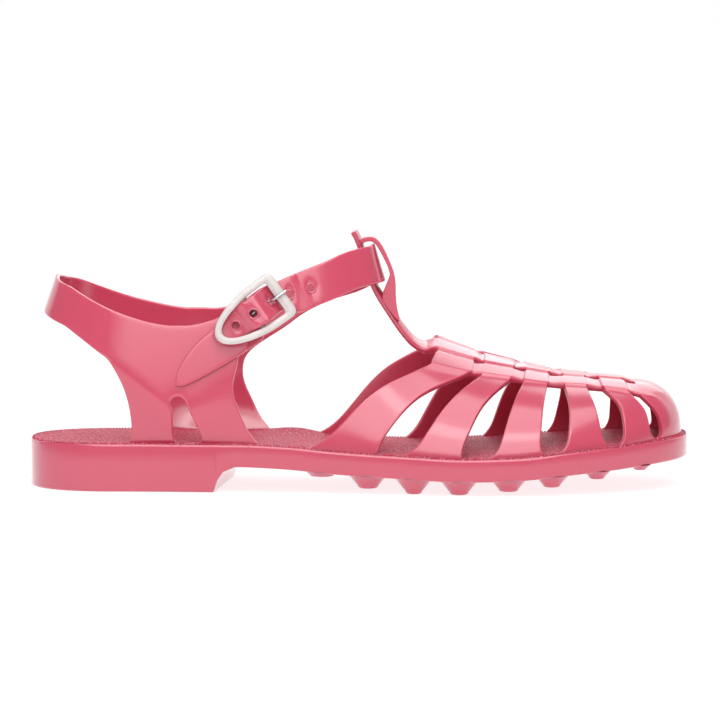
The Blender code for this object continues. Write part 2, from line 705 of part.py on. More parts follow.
def sheet(name, points, cells, weights, wall, offset, collection, material):
    """An open sheet on a grid of points, thickened by Solidify; weights raise its outer side."""
    count = points.shape[1]
    faces = [(c * count + r, (c + 1) * count + r, (c + 1) * count + r + 1, c * count + r + 1)
             for c, r in zip(*np.nonzero(cells))]
    item = mesh_object(name, points.reshape(-1, 3), faces, collection, material)
    if weights is not None:
        finder = KDTree(points.shape[0] * count)
        for index, point in enumerate(points.reshape(-1, 3)):
            finder.insert(point, index)
        finder.balance()
        group = item.vertex_groups.new(name="raised")
        for vertex in item.data.vertices:
            nearest = finder.find(vertex.co)[1]
            group.add([vertex.index], float(weights.reshape(-1)[nearest]), "REPLACE")
    solid = item.modifiers.new("Wall", "SOLIDIFY")
    solid.thickness = wall
    solid.offset = offset
    solid.use_even_offset = False
    if weights is not None:
        solid.vertex_group = "raised"
    return item


def make_vamp(collection, cutters, trim, material):
    points, cells, raised, strand = vamp_grid()
    bar = tbar_columns(points[0], strand)
    bar_cells = np.zeros((len(bar), cells.shape[1]), bool)
    bar_rows = (strand[:-1] == 1) & (strand[1:] == 1)
    inside = np.flatnonzero(bar_rows)[1:-1]
    bar_cells[:, inside] = True
    points = np.concatenate((np.array(bar), points))
    cells = np.concatenate((bar_cells, cells))
    bar_raised = np.repeat(raised[1:2], len(bar), axis=0)
    bar_raised[:-1] = False
    raised = np.concatenate((bar_raised, raised))
    weights = np.where(raised, 1.0, WALL / (WALL + WEAVE))
    vamp = sheet("vamp", points, cells, weights, WALL + WEAVE, 1.0, collection, material)
    join(vamp, make_keeper(cutters), "UNION")
    join(vamp, trim, "DIFFERENCE")
    return vamp


def prism(name, outline, low, high, collection):
    """A flat outline in XZ, given depth in Y."""
    count = len(outline)
    points = [(x, low, z) for x, z in outline] + [(x, high, z) for x, z in outline]
    faces = [tuple(range(count)), tuple(range(count, 2 * count))[::-1]]
    faces += [(k, (k + 1) % count, count + (k + 1) % count, count + k) for k in range(count)]
    item = mesh_object(name, points, faces, collection)
    face_outward(item)
    return item


def make_keeper(cutters):
    """The loop in front of the T-bar that the ankle strap runs through."""
    x = to_x(KEEPER["along"])
    z = np.array(KEEPER["height"]) * BACK_HEIGHT
    outline = list(zip(x.tolist(), z.tolist()))
    half = KEEPER_WIDTH / 2
    middle = RIDGE_SHIFT * TBAR["shift"][-1]
    return prism("keeper", outline, middle - half, middle + half, cutters)


def ankle_plan():
    """Closed plan curve of the ankle: outer side from the front, round the heel, back on the inner side."""
    half_width = ANKLE_WIDTH / 2
    front_middle, back_middle = to_x(ANKLE_MIDDLES["front"]), to_x(ANKLE_MIDDLES["back"])
    turn = np.linspace(0, math.pi / 2, 60)
    power = 2 / ANKLE_POWER
    front_x = front_middle + (ANKLE_FRONT - front_middle) * np.cos(turn) ** power
    front_y = -half_width * np.sin(turn) ** power
    back_x = back_middle + (ANKLE_BACK - back_middle) * np.sin(turn) ** power
    back_y = -half_width * np.cos(turn) ** power
    outer = np.column_stack((np.concatenate((front_x, back_x)), np.concatenate((front_y, back_y))))
    inner = outer[-2:0:-1] * (1, -1)
    return np.concatenate((outer, inner, outer[:1]))


PLAN = ankle_plan()
PLAN_RUN = np.concatenate(([0.0], np.cumsum(np.linalg.norm(np.diff(PLAN, axis=0), axis=1))))
GIRTH = PLAN_RUN[-1]


def run_at(along):
    """Distance along the outer side of the ankle's plan curve, from its front to a place on the length."""
    half = len(PLAN) // 2
    x = PLAN[:half + 1, 0]
    return float(np.interp(-to_x(along), -x, PLAN_RUN[:half + 1]))


def wrap(run, z, off=0.0):
    """Point on the ankle surface: run along the plan curve, height z, off outward from the surface."""
    run = np.mod(run, GIRTH)
    x, y = np.interp(run, PLAN_RUN, PLAN[:, 0]), np.interp(run, PLAN_RUN, PLAN[:, 1])
    ahead, behind = np.mod(run + WRAP_STEP, GIRTH), np.mod(run - WRAP_STEP, GIRTH)
    dx = np.interp(ahead, PLAN_RUN, PLAN[:, 0]) - np.interp(behind, PLAN_RUN, PLAN[:, 0])
    dy = np.interp(ahead, PLAN_RUN, PLAN[:, 1]) - np.interp(behind, PLAN_RUN, PLAN[:, 1])
    size = np.hypot(dx, dy)
    out_x, out_y = dy / size, -dx / size
    flip = np.where(out_x * (x - to_x(ANKLE_MIDDLES["centre"])) + out_y * y < 0, -1, 1)
    out_x, out_y = out_x * flip, out_y * flip
    lean = SIDE_LEAN + (np.where(out_x > 0, FRONT_LEAN, BACK_LEAN) - SIDE_LEAN) * out_x ** 2
    shift = off - lean * (z - ANKLE_REF)
    return np.stack(np.broadcast_arrays(x + out_x * shift, y + out_y * shift, z), axis=-1)


def lay(s, w, off):
    """Point beside the buckle's bar: s toward the strap's tip, w across it, off outward."""
    s, w = np.asarray(s, float), np.asarray(w, float)
    start = run_at(float(to_along(BUCKLE_X)))
    run = start + s * math.cos(BUCKLE_TILT) + w * math.sin(BUCKLE_TILT)
    z = BUCKLE_Z - s * math.sin(BUCKLE_TILT) + w * math.cos(BUCKLE_TILT)
    return wrap(run, z, off)


def side_columns(inner):
    """Columns of the quarter on one side: top, middle, bottom of the band, then down the leg."""
    columns = []
    edges = ("front_leg_front", None, "front_leg_rear", "rear_leg_front", None, "rear_leg_rear")
    between = {1: (0, 2), 4: (3, 5)}
    side = 1 if inner else -1
    for number, row in enumerate(BAND):
        forward = INNER_ADVANCE / LENGTH * row["advance"] * inner
        run = run_at(row["along"] + forward)
        run = GIRTH - run if inner else run
        rise = INNER_RISE * row["rise"] * inner
        top = row["top"] * BACK_HEIGHT + rise
        bottom = row["bottom"] * BACK_HEIGHT + rise / 2
        column = [wrap(run, top), wrap(run, (top + bottom) / 2), wrap(run, bottom)]
        if number < len(edges):
            if edges[number]:
                shares = np.array(LEGS[edges[number]])
            else:
                first, last = (np.array(LEGS[edges[k]]) for k in between[number])
                shares = (first + last) / 2
                shares[0] = row["along"]
            foot = INNER_FEET[number // 3] / LENGTH * inner
            for height, place in list(zip(LEGS["height"], shares))[1:]:
                ahead = forward * height + foot * (1 - height)
                column.append(leg_point(place + ahead, height, column[2], side))
        else:
            column += [column[2]] * (len(LEGS["height"]) - 1)
        columns.append(column)
    return columns


def leg_point(along, height, hip, side):
    """Point on a leg: from the band at height 1 down to the sole at height 0, bulging a little."""
    x = float(to_x(along))
    foot_y = float(sole_edge(along, side)) - side * (EDGE_INSET + QUARTER_WALL / 2)
    foot_z = float(sole_top(along)) - FOOT_SINK
    y = foot_y + (hip[1] - foot_y) * height + side * LEG_BULGE * 4 * height * (1 - height)
    return np.array((x, y, foot_z + (hip[2] - foot_z) * height))


def back_columns():
    """Columns of the heel band round the back, outer side first."""
    last = BAND[-1]
    start = run_at(last["along"])
    columns = []
    turns = list(BACK_TURNS[:-1]) + [1.0] + [2 - t for t in BACK_TURNS[:-1][::-1]]
    for turn in turns:
        run = start + (GIRTH / 2 - start) * turn
        share = 1 - abs(1 - turn)
        rise = INNER_RISE * last["rise"] * max(0.0, turn - 1)
        top = BACK_HEIGHT * (last["top"] + (1 - last["top"]) * share) + rise
        bottom = BACK_HEIGHT * (last["bottom"] + (BACK_BOTTOM - last["bottom"]) * share)
        column = [wrap(run, top), wrap(run, (top + bottom) / 2), wrap(run, bottom)]
        columns.append(column + [column[2]] * (len(LEGS["height"]) - 1))
    return columns


def strap_path():
    """Middle line of the ankle strap: run, height, offset and width, from the inner side to the tip."""
    path = []
    for row in STRAP_INNER:
        width = row["width"] * STRAP_WIDTH
        path.append((GIRTH - run_at(row["along"]), row["middle"] * BACK_HEIGHT, 0, width))
    path.append((GIRTH, STRAP_FRONT * BACK_HEIGHT, 0, STRAP_WIDTH))
    for row in STRAP_OUTER:
        width = row["width"] * STRAP_WIDTH
        path.append((GIRTH + run_at(row["along"]), row["middle"] * BACK_HEIGHT, 0, width))
    start = GIRTH + run_at(float(to_along(BUCKLE_X)))
    cosine, sine = math.cos(BUCKLE_TILT), math.sin(BUCKLE_TILT)
    for s, across, off, width in buckle_stack():
        path.append((start + s * cosine + across * sine, BUCKLE_Z - s * sine + across * cosine, off, width))
    return np.array(path)


def strap_levels():
    """Heights over the quarter's middle surface where strap, tab, bar and frame pass each other."""
    bar = BAR_LEVEL
    loop = BAR_RADIUS + FIT + TAB_WALL / 2
    tab_over = bar + loop
    tab_end = QUARTER_WALL / 2 + FIT + TAB_WALL / 2
    strap_hump = tab_over + TAB_WALL / 2 + FIT + QUARTER_WALL / 2
    strap_end = tab_end + TAB_WALL / 2 + FIT + QUARTER_WALL / 2
    frame_front = STRAP_LIFT + QUARTER_WALL / 2 + FIT + FRAME_THICK / 2
    frame_end = strap_end + QUARTER_WALL / 2 + 2 * FIT + FRAME_THICK / 2
    return {"bar": bar, "loop": loop, "tab_over": tab_over, "tab_end": tab_end, "hump": strap_hump,
            "strap_front": STRAP_LIFT, "strap_end": strap_end, "frame_front": frame_front,
            "frame_end": frame_end}


def buckle_stack():
    """The strap through the buckle: place toward the tip, shift across, height over the quarter, width."""
    level = strap_levels()
    reach = FRAME_LENGTH - BAR_TO_FRONT
    return [(row["place"] * (reach if row["place"] > 0 else BAR_TO_FRONT), row["shift"] * STRAP_WIDTH,
             row["share"] * level[row["level"]], row["width"] * STRAP_TIP_WIDTH) for row in STRAP_STACK]


def strap_columns():
    path = strap_path()
    ahead = np.gradient(path[:, :2], axis=0)
    ahead /= np.linalg.norm(ahead, axis=1)[:, None]
    columns = []
    for (run, z, off, width), (forward, climb) in zip(path, ahead):
        column = []
        for share in (0.5, 0.0, -0.5):
            column.append(wrap(run - climb * share * width, z + forward * share * width, off))
        columns.append(column + [column[2]] * (len(LEGS["height"]) - 1))
    return columns


def make_quarter(collection, cutters, trim, material):
    outer = side_columns(False)
    inner = side_columns(True)[::-1]
    strap = strap_columns()
    points = np.array(outer + back_columns() + inner + strap)
    levels = points.shape[1] - 1
    cells = np.zeros((len(points) - 1, levels), bool)
    cells[:, :2] = True
    first_inner = len(outer) + len(back_columns()) + 2
    for start in (0, first_inner + 3):
        cells[start:start + 2, 2:] = True
    for start in (3, first_inner):
        cells[start:start + 2, 2:] = True
    points = points[:, ::-1]
    cells = cells[:, ::-1]
    quarter = sheet("quarter", points, cells, None, QUARTER_WALL, 0.0, collection, material)
    join(quarter, make_tab(cutters), "UNION")
    join(quarter, make_holes(cutters), "DIFFERENCE")
    join(quarter, make_slot(cutters), "DIFFERENCE")
    join(quarter, trim, "DIFFERENCE")
    return quarter


def make_tab(cutters):
    """The quarter's own strip: forward to the bar, round it, and back over the quarter to a round end."""
    level = strap_levels()
    turn = np.linspace(math.radians(-90), math.radians(-270), 9)
    loop_s = level["loop"] * np.cos(turn)
    loop_off = level["bar"] + level["loop"] * np.sin(turn)
    narrow = STRAP_TIP_WIDTH / 2
    loop = [(s, off, -narrow, narrow) for s, off in zip(loop_s, loop_off)]
    root, tongue = [[(row["place"] * FRAME_LENGTH, row["share"] * level["tab_end"], row["low"] * STRAP_WIDTH,
                      row["high"] * STRAP_WIDTH) for row in table] for table in (TAB_ROOT, TAB_TONGUE)]
    path = root + loop + tongue
    points = np.array([[lay(s, low + (high - low) * share, off) for share in (0, 0.5, 1)]
                       for s, off, low, high in path])
    cells = np.ones((len(path) - 1, 2), bool)
    return sheet("buckle_tab", points, cells, None, TAB_WALL, 0.0, cutters, None)


def rod(name, start, end, radius, collection):
    """A straight closed rod between two points."""
    start, end = Vector(start), Vector(end)
    axis = (end - start).normalized()
    side = axis.orthogonal().normalized()
    up = axis.cross(side)
    sides, points = ROD_SIDES, []
    for centre in (start, end):
        for k in range(sides):
            turn = 2 * math.pi * k / sides
            points.append(centre + side * radius * math.cos(turn) + up * radius * math.sin(turn))
    faces = [tuple(range(sides)), tuple(range(sides, 2 * sides))[::-1]]
    faces += [(k, (k + 1) % sides, sides + (k + 1) % sides, sides + k) for k in range(sides)]
    item = mesh_object(name, points, faces, collection)
    face_outward(item)
    return item


def make_holes(cutters):
    """The strap's five holes, the third of them on the prong."""
    path = strap_path()
    steps = np.concatenate(([0.0], np.cumsum(np.linalg.norm(np.diff(path[:, :3], axis=0), axis=1))))
    start = GIRTH + run_at(float(to_along(BUCKLE_X)))
    prong_run = start - BAR_TO_FRONT * PRONG_HOLE * math.cos(BUCKLE_TILT)
    prong_step = float(np.interp(prong_run, path[:, 0], steps))
    holes = []
    for number in HOLE_NUMBERS:
        step = prong_step + number * HOLE_PITCH
        run, z, off = (float(np.interp(step, steps, path[:, k])) for k in range(3))
        before, after = (float(np.interp(step + shift, steps, path[:, 2]))
                         for shift in (-WRAP_STEP, WRAP_STEP))
        slope = (after - before) / (2 * WRAP_STEP)
        lean = HOLE_REACH * slope / math.sqrt(1 - slope * slope)
        lean_run, lean_z = math.cos(BUCKLE_TILT) * lean, -math.sin(BUCKLE_TILT) * lean
        low = wrap(run + lean_run, z + lean_z, off - HOLE_REACH)
        high = wrap(run - lean_run, z - lean_z, off + HOLE_REACH)
        holes.append(rod("strap_hole", low, high, HOLE_DIAMETER / 2, cutters))
    first = holes[0]
    for other in holes[1:]:
        join(first, other, "UNION")
    return first


def make_slot(cutters):
    """The slot in the tab's fold that lets the prong swing on the bar."""
    level = strap_levels()
    half = SLOT_WIDTH / 2
    low, high = -2 * QUARTER_WALL, level["tab_over"] + TAB_WALL / 2 + FIT / 2
    corners = []
    for off in (low, high):
        for s, w in ((SLOT_FRONT, -half), (SLOT_REAR, -half), (SLOT_REAR, half), (SLOT_FRONT, half)):
            corners.append(lay(s, w, off))
    faces = ((0, 1, 2, 3), (7, 6, 5, 4), (0, 4, 5, 1), (1, 5, 6, 2), (2, 6, 7, 3), (3, 7, 4, 0))
    slot = mesh_object("prong_slot", corners, faces, cutters)
    face_outward(slot)
    return slot


def frame_rise(s):
    """Share of the frame's climb from its flat front bar to its far end."""
    start = FRONT_BAR - BAR_TO_FRONT
    stop = (FRAME_LENGTH - BAR_TO_FRONT) * FRAME_RAMP
    return np.clip((s - start) / (stop - start), 0, 1)


def frame_loops():
    """Outer and inner outline of the D frame: straight at the front bar, half an ellipse at the far end."""
    start = FRAME_LENGTH - BAR_TO_FRONT - FRAME_ROUND
    turn = np.linspace(math.pi / 2, -math.pi / 2, 15)
    loops = []
    for front, half, depth in ((-BAR_TO_FRONT, FRAME_WIDTH / 2, FRAME_ROUND),
                               (FRONT_BAR - BAR_TO_FRONT, FRAME_WIDTH / 2 - RAIL, FRAME_ROUND - RAIL)):
        side = [(front, half), ((front + start) / 2, half)]
        arc = [(start + depth * math.cos(t), half * math.sin(t)) for t in turn]
        loops.append(np.array(side + arc + [(s, -w) for s, w in side[::-1]] + [(front, 0.0)]))
    return loops


def rail_reach():
    """Distance across from the bar's middle to the middle of the rail beside it."""
    start = FRAME_LENGTH - BAR_TO_FRONT - FRAME_ROUND
    outer = FRAME_WIDTH / 2 * math.sqrt(1 - (start / FRAME_ROUND) ** 2)
    inner = (FRAME_WIDTH / 2 - RAIL) * math.sqrt(1 - (start / (FRAME_ROUND - RAIL)) ** 2)
    return (outer + inner) / 2


def make_frame(collection, cutters, material):
    level = strap_levels()
    outer, inner = frame_loops()
    rings = []
    for loop, side in ((outer, -1), (outer, 1), (inner, 1), (inner, -1)):
        off = level["frame_front"] + (level["frame_end"] - level["frame_front"]) * frame_rise(loop[:, 0])
        rings.append(lay(loop[:, 0], loop[:, 1], off + side * FRAME_THICK / 2))
    count = len(outer)
    faces = []
    for ring in range(4):
        base, after = ring * count, (ring + 1) % 4 * count
        for k in range(count):
            n = (k + 1) % count
            faces.append((base + k, base + n, after + n, after + k))
    frame = mesh_object("buckle_frame", np.concatenate(rings), faces, collection, material)
    face_outward(frame)
    reach = rail_reach()
    bar = rod("centre_bar", lay(0, -reach, level["bar"]), lay(0, reach, level["bar"]), BAR_RADIUS, cutters)
    bridge = make_bar_ends(cutters)
    join(frame, bar, "UNION")
    join(frame, bridge, "UNION")
    return frame


def make_bar_ends(cutters):
    """Two short posts that carry the centre bar under the rails."""
    level = strap_levels()
    middle = rail_reach()
    rail = level["frame_front"] + (level["frame_end"] - level["frame_front"]) * float(frame_rise(0.0))
    posts = [rod(f"bar_post_{n}", lay(0, w, level["bar"] - BAR_RADIUS), lay(0, w, rail),
                 RAIL * POST_SHARE, cutters) for n, w in enumerate((-middle, middle))]
    join(posts[0], posts[1], "UNION")
    return posts[0]


def make_prong(collection, material):
    """A round wire hooked round the bar, up through the strap's hole and on to the front bar."""
    level = strap_levels()
    eye = BAR_RADIUS + PRONG_FIT + PRONG_RADIUS
    turn = np.radians(PRONG_EYE)
    path = [(eye * math.cos(t), level["bar"] + eye * math.sin(t)) for t in turn]
    rest = level["frame_front"] + FRAME_THICK / 2 + PRONG_FIT + PRONG_RADIUS
    path += [(-BAR_TO_FRONT * row["place"], level["hump"] * row["height"]) for row in PRONG_RISE]
    path += [(-BAR_TO_FRONT * place, rest) for place in PRONG_REST]
    curve = bpy.data.curves.new("buckle_prong", "CURVE")
    curve.dimensions = "3D"
    curve.bevel_depth = PRONG_RADIUS
    curve.bevel_resolution = 2
    curve.use_fill_caps = True
    spline = curve.splines.new("POLY")
    spline.points.add(len(path) - 1)
    for point, (s, off) in zip(spline.points, path):
        point.co = (*lay(s, 0.0, off), 1.0)
    guide = bpy.data.objects.new("prong_path", curve)
    collection.objects.link(guide)
    depsgraph = bpy.context.evaluated_depsgraph_get()
    mesh = bpy.data.meshes.new_from_object(guide.evaluated_get(depsgraph))
    shape = bmesh.new()
    shape.from_mesh(mesh)
    bmesh.ops.remove_doubles(shape, verts=shape.verts, dist=MERGE)
    bmesh.ops.recalc_face_normals(shape, faces=shape.faces)
    shape.to_mesh(mesh)
    shape.free()
    prong = bpy.data.objects.new("buckle_prong", mesh)
    prong.matrix_world = guide.matrix_world
    mesh.materials.append(material)
    collection.objects.link(prong)
    bpy.data.objects.remove(guide, do_unlink=True)
    return prong


def main():
    clear_scene()
    parts = new_collection("jelly_sandal")
    cutters = new_collection("cutters")
    pink, pebble, milky, steel = [make_material(name) for name in FINISHES]
    make_sole(parts, cutters, pink)
    make_insole(parts, pebble)
    trim = make_foot_trim(cutters)
    make_vamp(parts, cutters, trim, pink)
    make_quarter(parts, cutters, trim, pink)
    make_frame(parts, cutters, milky)
    make_prong(parts, steel)


main()
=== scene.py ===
"""Looks of the jelly sandal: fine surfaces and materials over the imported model, with a stage and a camera.

Metres, +X to the toe, +Y to the inner side of the foot, +Z up, origin on the floor.
"""

import math

import bpy
import bmesh
import numpy as np
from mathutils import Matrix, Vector


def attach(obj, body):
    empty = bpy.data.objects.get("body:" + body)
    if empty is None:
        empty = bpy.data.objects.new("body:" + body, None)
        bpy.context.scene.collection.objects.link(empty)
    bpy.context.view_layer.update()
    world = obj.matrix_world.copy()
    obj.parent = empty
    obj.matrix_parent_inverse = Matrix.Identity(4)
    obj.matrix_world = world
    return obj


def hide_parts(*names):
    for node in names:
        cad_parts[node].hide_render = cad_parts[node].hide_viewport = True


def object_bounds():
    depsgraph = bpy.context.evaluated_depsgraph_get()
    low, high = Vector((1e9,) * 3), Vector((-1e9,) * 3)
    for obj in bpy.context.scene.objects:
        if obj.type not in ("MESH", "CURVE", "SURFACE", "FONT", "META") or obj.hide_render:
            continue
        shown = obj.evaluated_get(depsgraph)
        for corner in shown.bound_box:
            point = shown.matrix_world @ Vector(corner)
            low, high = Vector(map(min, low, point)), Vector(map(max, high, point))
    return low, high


bl_info = {
    "name": "Jelly sandal",
    "version": (1, 0, 0),
    "blender": (4, 5, 0),
    "location": "View3D > Sidebar > Sandal",
    "description": "Builds the pieces, materials and stage of a moulded jelly sandal",
    "category": "Object",
}

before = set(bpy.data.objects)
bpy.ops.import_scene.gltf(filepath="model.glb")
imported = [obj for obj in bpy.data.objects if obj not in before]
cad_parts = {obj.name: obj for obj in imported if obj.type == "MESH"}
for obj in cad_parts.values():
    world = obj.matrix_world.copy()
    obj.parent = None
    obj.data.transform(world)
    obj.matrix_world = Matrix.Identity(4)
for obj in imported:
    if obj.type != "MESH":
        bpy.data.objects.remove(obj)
CAD_BOX = [list(corner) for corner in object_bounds()]

# Overall sizes
LENGTH = CAD_BOX[1][0] - CAD_BOX[0][0]
HALF = LENGTH / 2
BALL_WIDTH = 0.092
INSTEP_HEIGHT = 0.0555
BACK_HEIGHT = 0.0826
HEEL_LIFT = 0.0098
LUG_HEIGHT = 0.0054
TOE_LIFT = 0.0114
SOLE_SIDE = 0.0088

# How many points each curve has
COUNT = {
    "heel": 36, "toe": 84, "sole_across": 15, "corner": 5, "footbed_across": 41, "lug_turn": 32,
    "lug_rim": 6, "bead": 6, "edge_line": 300, "tbar": 30, "ankle_quarter": 60, "back": 19, "strap": 40,
    "strap_end": 44, "tab_loop": 13, "ring_turn": 32, "ring_bend": 12, "frame_corner": 8,
    "frame_side": 12, "frame_end": 33, "frame_bar": 7, "frame_turn": 20, "tube_turn": 16, "rod": 8,
    "prong": 70,
}

# Sole
HEEL_ROUND = 0.034
HEEL_POWER = 2.2
TOE_ROUND = 0.062
TOE_POWER = 2.3
BREAST_START = 0.294
BREAST_RUN = 0.008
BREAST_SKEW = 0.005
SKEW_REACH = 0.12
SKEW_FADE = 0.1
MERGE = 0.000002
LUG_SLOPE = 0.74
LUG_ROOT = 0.0012
LUG_RIM = 0.0011
LUG_TIP = 0.75
LUG_BEND = 1.6
LUG_MARGIN = 0.0003
LUG_POINT = 0.00001
LUGS_IN_ROW = 3
ARCH_RISE = 0.0018
ARCH_ALONG = 0.403
ARCH_RUN = 0.045
ARCH_SIDE = 0.2
ARCH_MARGIN = 0.0046
FOOTBED_INSET = 0.0009
FOOTBED_RISE = 0.00022
FOOTBED_RIM = 0.0001
FOOTBED_DEPTH = 0.0008

# Upper
FOOT_DEPTH = 0.0018
EDGE_INSET = 0.0022
STRAND_STEP = 0.0005
RIDGE_SHIFT = 0.003
BAR_ROLL = 0.0013
ROLL_KEYS = 6
BAR_CROWN = 0.0012
CROWN_KEYS = 3
HALF_WAY = 0.6
COLUMN_SHARE = 0.35
CAP_FULLNESS = 2.4
CAP_SWEEP = 1.7
CAP_EASE = 1.15
LOW_LIMIT = 0.85
TBAR_WIDTH = 0.0100
KEEPER_WIDTH = 0.0098
FLARE = 0.0024
FLARE_TOP = 0.2

# Quarter and ankle strap
ANKLE_WIDTH = 0.055
ANKLE_REF = 0.065
ANKLE_FRONT = 0.014
ANKLE_BACK = -0.1239
ANKLE_POWER = 2.3
ANKLE_MIDDLES = (0.33, 0.21)
ANKLE_CENTRE = 0.27
WRAP_STEP = 0.0015
BACK_LEAN = 0.35
SIDE_LEAN = 0.17
FRONT_LEAN = 0.30
INNER_RISE = 0.0037
INNER_ADVANCE = 0.0045
INNER_FEET = (0.003, 0.005)
SETTLE_KEYS = 2
ADVANCE_KEY = 2
RISE_KEY = 4
FADE_KEYS = 5
BACK_PLACES = (0.118, 0.104, 0.090, 0.076, 0.062)
BACK_SWELL = 0.3
BACK_RISE = 0.4
LEG_ROWS = np.array((0.83, 0.68, 0.54, 0.41, 0.30, 0.20, 0.11, 0.04, 0.0))
BAND_ROWS = 7
GAP_ROUND = 0.0013
EDGE_SHARE = 0.02
STRAP_WIDTH = 0.0147
STRAP_TIP_WIDTH = 0.0114
HOLE_PITCH = 0.0090
HOLE_NUMBERS = (-2, -1, 0, 1, 2)
HOLE_CUT = 0.8
HOLE_CLEAR = 1.5
PATH_STEP = 0.0008
RING_GAP = 0.00038
RING_RADIUS = 0.00034
RING_SINK = 0.00006
RING_FLAT = 0.8

# Buckle
BUCKLE_X = -0.0400
BUCKLE_Z = 0.0692
BUCKLE_TILT = math.radians(35)
FRAME_LENGTH = 0.031
FRAME_WIDTH = 0.0195
FRAME_THICK = 0.0026
FRAME_RAMP = 0.35
FRAME_ROUND = 0.0245
FRAME_CORNER = 0.0030
FRAME_INNER_CORNER = 0.0009
FRAME_POWER = 3.2
RAIL = 0.0029
FRONT_BAR = 0.0040
BAR_RADIUS = 0.0010
BAR_TO_FRONT = 0.0140
BAR_LEVEL = 0.0030
POST_SHARE = 0.38
STRAP_LIFT = 0.0010
TAB_WALL = 0.0016
FIT = 0.0003
PRONG_FIT = 0.0005
PRONG_HOLE = 0.52
PRONG_LIFT = 0.0002
PROBE = 0.001
SLOT_WIDTH = 0.0022
TIP_STEP = 0.0004

# Light in the soft plastic: its refraction, and how far red, green and blue go in
PVC_IOR = 1.53
PVC_GLOW = (1.0, 0.22, 0.28)

# Stage
PAPER = {"back": (-3.0, 1.2, 1.6, 1.9, 2.1, 2.2), "up": (0.0, 0.0, 0.03, 0.2, 0.6, 3.0)}
PAPER_HALF = 4.0
LIGHTS = (
    {"name": "top_light", "place": (0.0, -0.35, 1.3), "size": 1.3, "power": 11.0},
    {"name": "front_light", "place": (0.0, -1.5, 1.25), "size": 1.7, "power": 23.0},
    {"name": "back_light", "place": (0.3, 1.0, 0.9), "size": 0.9, "power": 3.0},
)
LIT_POINT = (0, 0, 0.03)
WORLD_STRENGTH = 0.25
CAMERA_DISTANCE = 1.30
CAMERA_UP = math.radians(4.5)
CAMERA_ROUND = math.radians(0.8)
CAMERA_AIM = (0.0003, 0.0, 0.0487)
CAMERA_END = 20
SENSOR = 36
VIEW_WIDTH = 0.282672

# Sole outline, half widths as shares of the ball width at shares of the length from the heel
OUTLINE = {
    "along": (0.00, 0.15, 0.30, 0.42, 0.55, 0.64, 0.70, 0.75, 0.85, 1.00),
    "outer": (0.330, 0.330, 0.355, 0.390, 0.450, 0.490, 0.500, 0.492, 0.440, 0.360),
    "inner": (0.330, 0.325, 0.300, 0.275, 0.330, 0.430, 0.492, 0.500, 0.480, 0.460),
}

# Underside height: shares of the heel's lift and of the toe's lift over the lugs' height
UNDERSIDE = {
    "along": (0.00, 0.33, 0.39, 0.47, 0.58, 0.65, 0.73, 0.81, 0.88, 0.94, 1.00),
    "heel": (1.00, 1.00, 0.87, 0.47, 0.16, 0.00, 0.00, 0.00, 0.00, 0.00, 0.00),
    "toe": (0.00, 0.00, 0.00, 0.00, 0.00, 0.00, 0.08, 0.37, 0.60, 0.82, 1.00),
}

# Heel breast: shares of its run and of the heel's lift
BREAST = {"run": (0.00, 0.18, 0.45, 1.00), "lift": (0.00, 0.47, 0.80, 1.00)}
BREAST_STEPS = (0.06, 0.18, 0.30, 0.45, 0.70, 1.00)

# Rows of lugs: place along the length, top diameter as a share of the ball width, reach to the floor
LUGS = {
    "along": (0.446, 0.515, 0.583, 0.650, 0.723, 0.787, 0.855, 0.921),
    "top": (0.120, 0.151, 0.151, 0.151, 0.139, 0.125, 0.099, 0.070),
    "reach": (0.20, 0.73, 1.00, 1.00, 0.76, 0.59, 0.34, 0.16),
}

# Lug where it leaves the underside: how far out of its top radius, and how far down
LUG_SKIRT = {"out": (0.0009, 0.0002, -0.0004), "down": (-0.0004, 0.0003, 0.0009)}

# Dome of the row along the footbed: radius as a share of the row's step, and lift off the sole
BEAD = {"radius": (0.42, 0.40, 0.24, 0.02), "lift": (-0.0003, 0.00022, 0.00042, 0.00048)}

# Ridge of the vamp: height as a share of the instep height, crest as a share of the ball width toward
# the inner side, and the squareness of its section
RIDGE = {
    "along": (0.42, 0.50, 0.535, 0.569, 0.597, 0.622, 0.645, 0.678, 0.744, 0.802, 0.843, 0.909, 1.00),
    "height": (1.80, 1.56, 1.36, 1.17, 1.08, 1.020, 0.980, 0.925, 0.850, 0.795, 0.775, 0.744, 0.70),
    "crest": (0.152, 0.152, 0.152, 0.152, 0.152, 0.152, 0.141, 0.130, 0.109, 0.087, 0.071, 0.049, 0.033),
    "square": (1.60, 1.60, 1.60, 1.60, 1.60, 1.60, 1.60, 1.62, 1.70, 1.80, 1.90, 2.10, 2.20),
}

# Strap edges as shares of the length: at the sole, half way up, at the strand and on the ridge
STRAPS = (
    {"rear": (0.435, 0.539, 0.609, 0.620), "front": (0.520, 0.587, 0.668, 0.676), "inner": 0.000},
    {"rear": (0.577, 0.631, 0.684, 0.690), "front": (0.646, 0.683, 0.729, 0.735), "inner": 0.000},
    {"rear": (0.703, 0.727, 0.748, 0.753), "front": (0.767, 0.775, 0.784, 0.788), "inner": -0.004},
    {"rear": (0.807, 0.814, 0.809, 0.807), "front": (0.863, 0.854, 0.843, 0.841), "inner": -0.008},
    {"rear": (0.895, 0.891, 0.866, 0.860), "front": (0.935, 0.928, 0.904, 0.897), "inner": -0.008},
)
CAP_REAR = (0.953, 0.948, 0.922, 0.914)
CAP_STEPS = (0.02, 0.08, 0.16, 0.26, 0.37, 0.48, 0.59, 0.70, 0.80, 0.88, 0.94, 0.98, 1.00)

# Rows of the vamp: shares of the way from the sole up to the strand, and the strands' edges across
SIDE_ROWS = (0.00, 0.03, 0.09, 0.17, 0.27, 0.38, 0.50, 0.62, 0.74, 0.85, 0.94, 0.985)
STRAND_EDGES = {"low": 0.175, "high": 0.090, "bar": 0.049}

